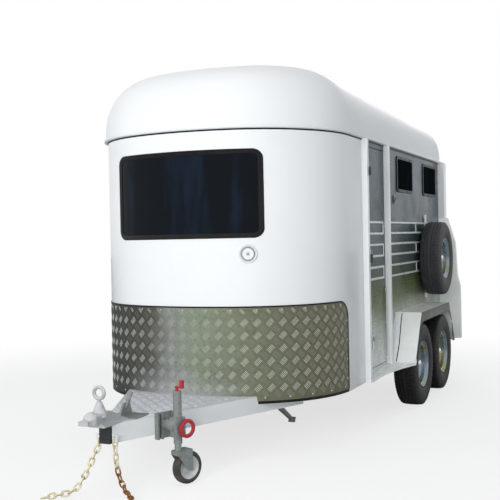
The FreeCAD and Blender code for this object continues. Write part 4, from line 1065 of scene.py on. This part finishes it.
def roof():
    """The moulded roof: levels that draw in by a rounded power curve, joined by a smooth spline.

    At angle t a level is up by height * sin(t) ** (2 / power) and in by
    1 - cos(t) ** (2 / power) of the way. Each level leans down slightly towards the tail.
    """
    overhang, power = 0.018, 2.25
    height, side_in, front_in, rear_in = 0.445, 0.370, 0.500, 0.230

    def level(up, inward, extra):
        side = side_in * inward + extra
        front = front_in * inward + extra
        ring = roof_outline(
            BODY_HALF + overhang - side, max(CORNER_R + overhang - (side + front) / 2, 0.150), NOSE_R,
            front - overhang, BODY_END + overhang - rear_in * inward - extra, 0.150, RAIL_Z + up,
        )
        drop = math.atan(0.09 * up / BODY_END)
        y, z = ring[:, 1].copy(), ring[:, 2] - (RAIL_Z + up)
        ring[:, 1] = y * math.cos(drop) + z * math.sin(drop)
        ring[:, 2] = RAIL_Z + up + z * math.cos(drop) - y * math.sin(drop)
        return ring

    def curved(share):
        angle = share * math.pi / 2
        up = math.sin(angle) ** (2 / power) if share > 0 else 0.0
        return level(height * up, 1 - math.cos(angle) ** (2 / power), 0.0)

    levels = [curved(share) for share in (0.0, 0.22, 0.45, 0.68, 0.86)]
    levels += [level(height + 0.008, 1.0, 0.0), level(height + 0.030, 1.0, 0.200)]
    rows = through(levels, 46)
    middle = rows[-1].copy()
    middle[:, 0] *= 0.02
    middle[:, 2] += 0.004
    crown = rows[-1] + (middle - rows[-1]) * np.linspace(0, 1, 9)[1:, None, None]
    crown[..., 2] = rows[-1][:, 2] + 0.004 * np.sin(np.linspace(0, math.pi / 2, 9)[1:])[:, None]
    rows = np.concatenate([rows, crown])
    rows[..., 1] -= MID_Y
    lip = rows[:1] + [0, 0, -0.006]
    inner = rows * [0.992, 1, 1] - [0, 0, 0.008]
    inner[..., 1] = (rows[..., 1] + MID_Y - 1.9) * 0.996 + 1.9 - MID_Y
    whole = np.concatenate([inner[::-1], lip, rows])
    piece("roof_skin", Shape().grid(whole, wrap_columns=True, cap_rows=True), "white_gelcoat",
          replaces=("roof",), sharp=50.0)


def drip_rail():
    """The rail under the roof: a small channel with a bright upturned lip, carried round the plan."""
    end = S_CORNER + BODY_END - CORNER_Y
    around = both_sides(np.concatenate([
        np.linspace(0, S_NOSE, 14), np.linspace(S_NOSE, S_CORNER, 40)[1:],
        np.linspace(S_CORNER, end, 20)[1:],
    ]))
    out, up = mm((
        (0, -18), (19, -18), (26, -14), (28, -8), (28, 0), (26.5, 1.5), (24.5, 0), (23.5, -6),
        (18, -8.5), (6, -6.5), (0, -2),
    )).T
    points = on_body(around[:, None], RAIL_Z + up, out)
    points[[0, -1], :, 1] += out
    share = np.linspace(0, 1, 14)[1:-1, None, None]
    across = points[-1] + (points[0] - points[-1]) * share
    rail = Shape().grid(np.concatenate([points, across]), wrap_rows=True, wrap_columns=True)
    piece("drip_rail", rail, "white_paint", replaces=("gutter_rail",), sharp=30.0)


def vent():
    """The round vent on the nose: a rolled outer ring, a dished field, a raised disc and its screw.

    Its profile, with how dark each point is, and its screw's are turned about the nose's own
    outward direction. Twelve short bars cross the field.
    """
    s = float(round_at_x(VENT_X))
    centre = on_body(s, VENT_Z, 0.0)
    axis = on_body(s, VENT_Z, 1.0) - centre
    profile = mm((
        (0, 11.5), (6, 11.5), (7.5, 10), (9, 8.5), (16, 9.5), (33, 12), (37, 11.5), (38.5, 8.5),
        (40, 4.5), (47, 5), (50, 8.5), (53.5, 10), (56.5, 8), (57.5, 4), (57.5, -2), (0, -2),
    ))
    darkened = [0, 0, 0, 0.5, 0, 0, 0.6, 1, 1, 0.3, 0, 0, 0, 1, 1, 0]
    head = mm(((0, 15), (3.5, 14.8), (5, 13), (5.2, 11.5), (0, 11.5)))
    bars = turned(mm(((40.5, 6), (46.5, 6.5))), centre, axis, 12)
    parts = [Shape().grid(turned(profile, centre, axis, 72), wrap_rows=True, mark=np.tile(darkened, 72))]
    parts += [tube(bar, 0.0011, 6) for bar in bars]
    parts.append(Shape().grid(turned(head, centre, axis, 24), wrap_rows=True, mark=1.0))
    piece("vent_disc", joined(parts), "white_plastic", replaces=("round_vent",))


def tyre_shape(centre, outward):
    """A road tyre: a profile turned about the axle, with ring grooves and slanted cross cuts.

    The radius is the profile's radius less the groove depth times the larger of the ring
    groove's and the cross cut's share.
    """
    pitches, tread_half, groove_deep = 72, 0.0685, 0.0075
    grooves = np.add.outer([-0.044, -0.0155, 0.0155, 0.044], [-0.0045, -0.0030, 0.0030, 0.0045])
    across = np.concatenate([[-tread_half, -0.060], grooves.ravel(), [0.060, tread_half]])
    crown = TYRE_R - 0.0045 * (np.abs(across) / tread_half) ** 3
    side_r, side_a = mm((
        (0, 72), (6, 78), (16, 79.5), (22, 83.5), (45, 89.5), (78, 92.5), (100, 91.5), (104, 90),
        (109, 90.2), (128, 83), (139, 75.5),
    )).T
    radius = np.concatenate([RIM_R + side_r, crown, RIM_R + side_r[::-1]])
    along = np.concatenate([-side_a, across, side_a[::-1]])
    groove = np.concatenate([np.zeros(13), [0.0, 1.0, 1.0, 0.0] * 4, np.zeros(13)])
    on_tread = np.concatenate([np.zeros(10), np.ones(22), np.zeros(10)])
    step = 2 * math.pi / pitches
    angle = (np.arange(pitches)[:, None] * step + np.array([0.0, 0.72, 0.80, 0.92]) * step).ravel()
    cut = np.tile([0.0, 0.0, 0.75, 0.75], pitches)
    turn = angle[:, None] + 0.35 * step * np.cos(along / tread_half * math.pi) * on_tread
    sunk = np.maximum(groove, cut[:, None] * on_tread * (np.abs(along) > 0.016))
    r = radius - groove_deep * sunk
    place = np.stack([np.broadcast_to(along * outward, r.shape), r * np.cos(turn), r * np.sin(turn)], -1)
    mark = np.broadcast_to(groove, r.shape).ravel()
    return Shape().grid(np.asarray(centre) + place, wrap_rows=True, wrap_columns=True, mark=mark)


def rim_shape(centre, outward):
    """A dished wheel: flange, drop and dish turned about the axle, hand holes pressed into the dish.

    The dish sinks by a rounded bump where the angle and radius are near a hand hole's middle.
    """
    radius, along = mm((
        (0, 23.5), (30, 23.5), (33.5, 24), (36, 20), (60, 19), (66, 20), (72, 26), (80, 33), (88, 34),
        (96, 31), (103, 25), (110, 19), (117, 14), (124, 11), (131, 10), (138, 13), (144, 20),
        (147.5, 30), (149, 44), (151, 56), (157, 60), (165, 61.5), (169, 65), (170.5, 71), (174, 77),
        (178, 79), (179.5, 77), (179, 72), (177, 65), (176, 50), (164, 40), (164, -50), (177, -60),
        (177, -70), (0, -70),
    )).T
    around, holes, hole_r = 120, 8, 0.118
    angle = np.linspace(0, 2 * math.pi, around, endpoint=False)[:, None]
    near = np.abs((angle * holes / (2 * math.pi) + 0.5) % 1 - 0.5) * 2 * math.pi / holes * hole_r
    reach = np.sqrt((near / 0.017) ** 2 + ((radius - hole_r) / 0.012) ** 2)
    sunk = np.clip(1.35 - reach, 0, 1) * (np.arange(len(radius)) < 20)
    dish = np.stack([(along - 0.016 * sunk) * outward, radius * np.cos(angle), radius * np.sin(angle)], -1)
    centre = np.asarray(centre)
    shapes = [Shape().grid(centre + dish, wrap_rows=True, mark=sunk.ravel())]

    def fitting(section, place, axis, sides, first=0.0, mark=0.0):
        points = turned(section, centre + place, axis, sides, first)
        shapes.append(Shape().grid(points, wrap_rows=True, mark=mark))

    cap = mm(((0, 60), (12, 59), (22, 55), (27.5, 48), (29, 40), (29, 23), (0, 23)))
    nut = mm(((0, 34.5), (5, 34), (8.5, 31), (9.2, 19), (0, 19)))
    valve = mm(((0, 32), (3.5, 32), (4, 12), (6, 0), (0, 0)))
    fitting(cap, (0, 0, 0), (outward, 0, 0), 48, mark=2.0)
    for turn in np.arange(5) * 2 * math.pi / 5 + 0.3:
        fitting(nut, (0, 0.0485 * math.cos(turn), 0.0485 * math.sin(turn)), (outward, 0, 0), 6, turn)
    c, s = math.cos(0.9), math.sin(0.9)
    fitting(valve, (outward * 0.045, 0.15 * c, 0.15 * s), (outward, -0.25 * c, -0.25 * s), 12)
    return joined(shapes)


def wheel(tyre_node, rim_node, name):
    """A tyre and a rim about the middle of the tyre's node, with their fronts away from the trailer."""
    centre = np.mean(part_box(tyre_node), 0)
    outward = math.copysign(1.0, centre[0])
    body = frame["nodes"][tyre_node]["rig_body"]
    # the road tyres take a darker rubber than the spare: a painted shade
    tread = "spare_rubber" if name == "spare" else "tyre_rubber"
    piece("road_tyre_" + name, tyre_shape(centre, outward), tread, body, (tyre_node,), 32.0)
    piece("dished_rim_" + name, rim_shape(centre, outward), "silver_rim", body, (rim_node,), 40.0)


def wheels():
    """The four wheels on the ground and the spare."""
    for name in ("front_left", "front_right", "rear_left", "rear_right"):
        wheel("tyre_" + name, "rim_" + name, name)
    wheel("spare_tyre", "spare_rim", "spare")


def own_points(node):
    """A node's points, one to a row."""
    mesh = frame["nodes"][node].data
    points = np.zeros(len(mesh.vertices) * 3, np.float32)
    mesh.vertices.foreach_get("co", points)
    return points.reshape(-1, 3)


def spread(points):
    """The directions in which points spread, least first: their covariance's own directions."""
    return np.linalg.eigh(np.cov(points.T))[1].T


def jockey_wheel():
    """The jockey wheel: a moulded rubber ring turned about its axle, on a dished pressed rim.

    Its axle is the direction in which the node's own points spread least.
    """
    points = np.unique(own_points("jockey_wheel").round(5), axis=0).astype(float)
    centre = (points.min(0) + points.max(0)) / 2
    axis = spread(points)[0]
    axis = axis * np.sign(axis[0])
    body = frame["nodes"]["jockey_wheel"]["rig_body"]
    ring = mm((
        (64, 21.5), (66.5, 26.2), (70, 27.2), (78, 27), (83.5, 24), (88.5, 18.5), (91.2, 12), (91.8, 4),
    ))
    dish = mm((
        (0, 26.2), (13, 26.2), (16, 25), (17.5, 20), (20, 16.5), (34, 13), (48, 14), (56, 19),
        (60.5, 23.5), (64, 24), (65.5, 21.5),
    ))
    ring, dish = (turned(np.vstack([half, half[::-1] * (1, -1)]), centre, axis) for half in (ring, dish))
    tyre = Shape().grid(ring, wrap_rows=True, wrap_columns=True)
    piece("jockey_tyre", tyre, "hard_rubber", body, ("jockey_wheel",))
    piece("jockey_rim", Shape().grid(dish, wrap_rows=True), "cast_coupling", body)


def safety_chain(side):
    """Welded links of round wire: a circle of wire carried along two straights and two half rings.

    Each link lies about the middle of its own points, long and wide in the directions of
    their largest and second spread.
    """
    node = "safety_chain_" + side
    wire, inner, bore = 0.0046, 0.038, 0.016
    bend = bore / 2 + wire
    a = np.linspace(-math.pi / 2, math.pi / 2, 9)
    half = np.stack([(inner - bore) / 2 + bend * np.cos(a), bend * np.sin(a)], -1)
    path = np.concatenate([half, -half])
    links = []
    for link in own_points(node).reshape(sizes().link_count, -1, 3).astype(float):
        spine = link.mean(0) + path @ spread(link)[[2, 1]]
        links.append(tube(spine, wire, 10, True))
    piece("round_links_" + side, joined(links), "yellow_zinc", replaces=(node,), sharp=60.0)


def safety_chains():
    """Both chains."""
    for side in ("left", "right"):
        safety_chain(side)


def rail_seal():
    """A dark strip under the drip rail, a painted shadow of the rail, carried round the plan to the tail on
    both sides.
    """
    end = round_at_y(SHADOW_STRIP_END)
    out, up = mm(((0, -27.5), (3.5, -26.5), (4.5, -22.5), (3.5, -18.5), (0, -18))).T
    points = on_body(np.linspace(-end, end, 220)[:, None], RAIL_Z + up, out)
    piece("rail_seal", Shape().grid(points, wrap_columns=True, cap_rows=True), "black_rubber")


def mudguard_seams():
    """A dark bead up the front slope of each mudguard: a half round carried along a line."""
    foot, head = np.array([0.334, 0.390]), np.array([0.560, 0.738])
    along = (head - foot) / np.linalg.norm(head - foot)
    share = np.linspace(0, 1, 30)[:, None]
    angle = np.linspace(0, math.pi, 7)
    lift = 0.0022 * np.sin(angle)
    line = foot + (head - foot) * share
    x = 0.930 + 0.004 * np.sin(share * 5.0) + 0.0035 * np.cos(angle)
    points = np.stack([x, line[:, :1] - along[1] * lift, line[:, 1:] + along[0] * lift], -1)
    seams = [Shape().grid(points * (side, 1, 1), wrap_columns=True, cap_rows=True) for side in (-1, 1)]
    piece("mudguard_seams", joined(seams), "black_rubber")


REFINED = (
    # node, slot, width of its rounded edges
    ("side_posts", "post_paint", 0.0025),
    ("side_window_frames", "black_rubber", 0.002),
    ("tie_rings", "galvanised_steel", 0.0008),
    ("drawbar_arms", "silver_paint", 0.004),
    # painted shade: the nose box is black where shade falls under the coupling, between the arms' ends
    ("drawbar_nose", "black_steel", 0.002),
    ("drawbar_brace", "silver_paint", 0.003),
    ("coupling_head", "cast_coupling", 0.0025),
    ("coupling_lever", "cast_coupling", 0.0),
    ("handbrake", "galvanised_steel", 0.0015),
    ("jockey_bracket", "galvanised_steel", 0.0015),
    ("jockey_tube", "galvanised_steel", 0.0015),
    ("jockey_clamp_handle", "red_paint", 0.0),
    ("jockey_crank", "red_paint", 0.0015),
    ("jockey_leg", "galvanised_steel", 0.001),
    ("mudguards", "polished_aluminium", 0.0015),
    ("rear_wings", "grey_paint", 0.002),
    ("spare_bracket", "white_paint", 0.0015),
    ("drop_leg_left", "galvanised_steel", 0.0015),
    ("drop_leg_right", "galvanised_steel", 0.0015),
    ("drop_leg_hangers", "galvanised_steel", 0.001),
    ("rear_frame", "white_paint", 0.003),
    ("ramp", "white_paint", 0.004),
    ("barn_door_left", "white_paint", 0.004),
    ("barn_door_right", "white_paint", 0.004),
    ("stall_divider", "grey_padding", 0.012),
    ("chest_bars", "grey_padding", 0.0),
)

PLAIN = (
    # node, slot
    ("side_wall_left", "aluminium_sheet"),
    ("side_wall_right", "aluminium_sheet"),
    ("groom_door_left", "aluminium_sheet"),
    ("groom_door_right", "aluminium_sheet"),
    ("side_windows", "side_acrylic"),
    ("floor", "floor_board"),
    ("chassis_rails", "galvanised_steel"),
    ("cross_members", "galvanised_steel"),
    ("axles", "black_steel"),
    ("leaf_springs", "black_steel"),
    ("ramp_mat", "black_rubber"),
    ("tail_lamps", "lamp_lens"),
)


def dress(node, slot):
    """Gives a node that is kept its finish, on the object's own material slot."""
    obj = frame["nodes"][node]
    if not obj.material_slots:
        obj.data.materials.append(None)
    for place in obj.material_slots:
        place.link = "OBJECT"
        place.material = finish(slot)


def metalwork():
    """The nodes whose edges are rounded, with the jockey wheel and the seams on the mudguards."""
    for node, slot, width in REFINED:
        refined(node, slot, width)
    jockey_wheel()
    mudguard_seams()


def other_finishes():
    """The nodes that keep their shape."""
    for node, slot in PLAIN:
        dress(node, slot)


# Stage

def stage_floor():
    """A pale floor that keeps the shadow and fades to plain white far out."""
    angle = np.linspace(0, 2 * math.pi, 64, endpoint=False)
    radius = np.array([0.01, 3.0, 8.0, 20.0, 60.0])
    points = np.stack([np.outer(radius, np.cos(angle)), np.outer(radius, np.sin(angle)),
                       np.full((5, 64), -0.0015)], -1)
    mesh = Shape().grid(points, wrap_columns=True).mesh("studio_floor")
    if mesh.polygons[0].normal.z < 0:
        mesh.flip_normals()
    floor = bpy.data.objects.new("studio_floor", mesh)
    bpy.context.scene.collection.objects.link(floor)
    look = Look("pale_floor")
    far = look.node("ShaderNodeVectorMath", {"operation": "LENGTH"}, {0: look.place}, "Value")
    rays = look.node("ShaderNodeLightPath", output="Is Camera Ray")
    look.set(
        Base_Color=look.mix(rays, (0.62, 0.62, 0.62), (0.95, 0.95, 0.95)),
        Roughness=0.9,
        Specular_IOR_Level=0.1,
    )
    white = look.node("ShaderNodeEmission")
    share = look.span(far, 2.4, 6.0, 0.72, 1.0) * rays
    blend = look.node("ShaderNodeMixShader", None, {0: share, 1: look.surface, 2: white})
    look.feed(look.end.inputs[0], blend)
    mesh.materials.append(look.material)


def world(ambient):
    """White to camera, gloss and glass, and a soft even light for everything else."""
    sky = bpy.data.worlds.new("studio")
    bpy.context.scene.world = sky
    sky.use_nodes = True
    net = Net(sky.node_tree)
    seen, gloss, glass = (net.node("ShaderNodeLightPath", output=f"Is {ray} Ray")
                          for ray in ("Camera", "Glossy", "Transmission"))
    shown = seen.math("MAXIMUM", seen.math("MAXIMUM", seen, gloss), glass)
    soft = net.node("ShaderNodeBackground", None, {"Color": (0.90, 0.95, 1.0), "Strength": ambient})
    white = net.node("ShaderNodeBackground", None, {"Color": (1.0, 1.0, 1.0)})
    blend = net.node("ShaderNodeMixShader", None, {0: shown, 1: soft, 2: white})
    net.node("ShaderNodeOutputWorld", None, {0: blend}, None)


def aimed(place, target, roll=0.0):
    """Matrix of something at place that looks at target along its own -Z."""
    place, target = np.asarray(place, float), np.asarray(target, float)
    back = place - target
    back /= np.linalg.norm(back)
    right = np.cross([0, 0, 1.0], back)
    right /= np.linalg.norm(right)
    up = np.cross(back, right)
    c, s = math.cos(roll), math.sin(roll)
    axes = np.stack([c * right + s * up, c * up - s * right, back, place], -1)
    return Matrix(np.vstack([axes, [0, 0, 0, 1]]).tolist())


LAMPS = (
    # name, place, target, size, watts, colour
    ("key_lamp", (0.6, -9.2, 3.3), (0.0, -0.8, 1.2), 4.0, 365.0, (1.0, 0.99, 0.97)),
    ("fill_lamp", (3.6, -8.6, 2.2), (0.9, -0.3, 0.9), 3.0, 168.0, (0.98, 0.99, 1.0)),
    ("top_lamp", (0.0, -1.5, 8.0), (0.0, 0.0, 1.5), 5.0, 90.0, (1.0, 1.0, 1.0)),
    ("side_lamp", (6.0, 3.8, 2.4), (0.9, 2.0, 0.9), 3.0, 58.0, (0.93, 0.97, 1.0)),
    ("left_lamp", (-7.5, -4.5, 3.5), (-0.5, -1.0, 1.0), 4.0, 115.0, (0.93, 0.97, 1.0)),
    ("rear_lamp", (-1.0, 9.0, 4.0), (0.0, 2.0, 1.2), 4.0, 180.0, (1.0, 1.0, 1.0)),
)


def lamps(level):
    """The area lamps; only the one behind shows in gloss."""
    for name, place, target, size, watts, colour in LAMPS:
        data = bpy.data.lights.new(name, "AREA")
        data.shape = "DISK"
        data.size = size
        data.energy = watts * level
        data.color = colour
        data.specular_factor = 0.25
        lamp = bpy.data.objects.new(name, data)
        lamp.matrix_world = aimed(place, target)
        lamp.visible_glossy = name == "rear_lamp"
        bpy.context.scene.collection.objects.link(lamp)


def camera():
    """A plain camera at the photo's place: low, in front and to the left of the trailer."""
    data = bpy.data.cameras.new("photo_camera")
    data.sensor_width = 36.0
    data.lens = sizes().lens
    data.shift_x = -0.0140
    data.shift_y = -0.0079
    data.clip_end = 200.0
    yaw, pitch, roll = 0.4107, -0.011, -0.0207
    place = np.array([2.636, -4.859 - MID_Y, 1.366])
    ahead = np.array([-math.sin(yaw) * math.cos(pitch), math.cos(yaw) * math.cos(pitch), math.sin(pitch)])
    made = bpy.data.objects.new("photo_camera", data)
    made.matrix_world = aimed(place, place + ahead, roll)
    bpy.context.scene.collection.objects.link(made)
    bpy.context.scene.camera = made


def stage():
    """The floor, the even light, the lamps and the camera, seen through a plain view transform."""
    bpy.context.scene.view_settings.view_transform = "Standard"
    stage_floor()
    world(sizes().ambient)
    lamps(sizes().lamp_level)
    camera()


# Sizes and colours that a user may change

class TrailerSizes(bpy.types.PropertyGroup):
    """Sizes of the pieces, and of the light and the camera"""

    window_half: bpy.props.FloatProperty(
        name="Window half width", description="Half of the nose window, measured straight across",
        default=0.519, unit="LENGTH")
    tread_pitch: bpy.props.FloatProperty(
        name="Tread repeat", description="Distance between like groups of tread bars",
        default=0.081, unit="LENGTH")
    bar_length: bpy.props.FloatProperty(
        name="Tread bar length", description="Length of one raised bar",
        default=0.045, unit="LENGTH")
    bar_width: bpy.props.FloatProperty(
        name="Tread bar width", description="Width of one raised bar at its foot",
        default=0.0068, unit="LENGTH")
    bar_height: bpy.props.FloatProperty(
        name="Tread bar height", description="Height of one raised bar",
        default=0.0020, unit="LENGTH")
    link_count: bpy.props.IntProperty(
        name="Chain links", description="Links in each safety chain", default=13)
    lens: bpy.props.FloatProperty(
        name="Camera lens", description="Focal length of the camera in millimetres", default=62.97)
    ambient: bpy.props.FloatProperty(
        name="Even light", description="Strength of the light from all round", default=0.26)
    lamp_level: bpy.props.FloatProperty(
        name="Lamp level", description="Factor on all lamps", default=1.0)


class TrailerColours(bpy.types.PropertyGroup):
    """Colours of the painted and moulded pieces, named as their finishes are"""

    white_paint: bpy.props.FloatVectorProperty(
        name="Body white", description="Colour of the painted nose, posts and doors",
        default=FINISHES["white_paint"][1], subtype="COLOR")
    white_gelcoat: bpy.props.FloatVectorProperty(
        name="Roof white", description="Colour of the moulded roof",
        default=FINISHES["white_gelcoat"][1], subtype="COLOR")
    silver_paint: bpy.props.FloatVectorProperty(
        name="Drawbar silver", description="Colour of the painted drawbar",
        default=FINISHES["silver_paint"][1], subtype="COLOR")
    red_paint: bpy.props.FloatVectorProperty(
        name="Handle red", description="Colour of the jockey wheel's handles",
        default=FINISHES["red_paint"][1], subtype="COLOR")


def sizes():
    """The scene's own sizes."""
    return bpy.context.scene.trailer_sizes


# Operators

class PieceOperator:
    """Runs its makers in turn; an error in one of them is raised and stops the script."""

    bl_options = {"REGISTER"}
    makers = ()

    def execute(self, context):
        for make in self.makers:
            make()
        return {"FINISHED"}


class TRAILER_OT_stage(PieceOperator, bpy.types.Operator):
    """Makes the floor, the even light, the lamps and the camera"""

    bl_idname = "trailer.stage"
    bl_label = "Stage"
    makers = (stage,)


class TRAILER_OT_nose(PieceOperator, bpy.types.Operator):
    """Makes the nose skin, its window, bead and vent"""

    bl_idname = "trailer.nose"
    bl_label = "Nose and window"
    makers = (nose_panel, front_window, vent)


class TRAILER_OT_tread(PieceOperator, bpy.types.Operator):
    """Makes the tread plate on the stone guard and on the deck"""

    bl_idname = "trailer.tread"
    bl_label = "Tread plate"
    makers = (stone_guard, guard_rivets, deck_plate)


class TRAILER_OT_roof(PieceOperator, bpy.types.Operator):
    """Makes the moulded roof and the drip rail under it"""

    bl_idname = "trailer.roof"
    bl_label = "Roof and drip rail"
    makers = (roof, drip_rail, rail_seal)


class TRAILER_OT_wheels(PieceOperator, bpy.types.Operator):
    """Makes the tyres and dished rims of the four wheels and the spare"""

    bl_idname = "trailer.wheels"
    bl_label = "Wheels"
    makers = (wheels,)


class TRAILER_OT_chains(PieceOperator, bpy.types.Operator):
    """Makes the round links of both safety chains"""

    bl_idname = "trailer.chains"
    bl_label = "Safety chains"
    makers = (safety_chains,)


class TRAILER_OT_metalwork(PieceOperator, bpy.types.Operator):
    """Rounds the edges of the posts, drawbar, jockey wheel, mudguards and doors"""

    bl_idname = "trailer.metalwork"
    bl_label = "Metalwork"
    makers = (metalwork,)


class TRAILER_OT_finishes(PieceOperator, bpy.types.Operator):
    """Gives the nodes that keep their shape their finishes"""

    bl_idname = "trailer.finishes"
    bl_label = "Other finishes"
    makers = (other_finishes,)


OPERATORS = (
    TRAILER_OT_stage, TRAILER_OT_nose, TRAILER_OT_tread, TRAILER_OT_roof, TRAILER_OT_wheels,
    TRAILER_OT_chains, TRAILER_OT_metalwork, TRAILER_OT_finishes,
)


class TRAILER_PT_pieces(bpy.types.Panel):
    """Lists the trailer's groups of pieces, its sizes and its colours"""

    bl_label = "Horse trailer"
    bl_space_type = "VIEW_3D"
    bl_region_type = "UI"
    bl_category = "Trailer"

    def draw(self, context):
        for operator in OPERATORS:
            self.layout.operator(operator.bl_idname)
        for group in (context.scene.trailer_sizes, context.scene.trailer_colours):
            for name in group.bl_rna.properties.keys():
                if name not in ("rna_type", "name"):
                    self.layout.prop(group, name)


CLASSES = (TrailerSizes, TrailerColours, *OPERATORS, TRAILER_PT_pieces)


def register():
    for kind in CLASSES:
        bpy.utils.register_class(kind)
    bpy.types.Scene.trailer_sizes = bpy.props.PointerProperty(type=TrailerSizes)
    bpy.types.Scene.trailer_colours = bpy.props.PointerProperty(type=TrailerColours)


def unregister():
    del bpy.types.Scene.trailer_colours
    del bpy.types.Scene.trailer_sizes
    for kind in reversed(CLASSES):
        bpy.utils.unregister_class(kind)


def main():
    """Makes every piece and the stage."""
    register()
    for operator in OPERATORS:
        group, name = operator.bl_idname.split(".")
        getattr(getattr(bpy.ops, group), name)()
    bpy.context.view_layer.update()


if __name__ == "__main__":
    main()
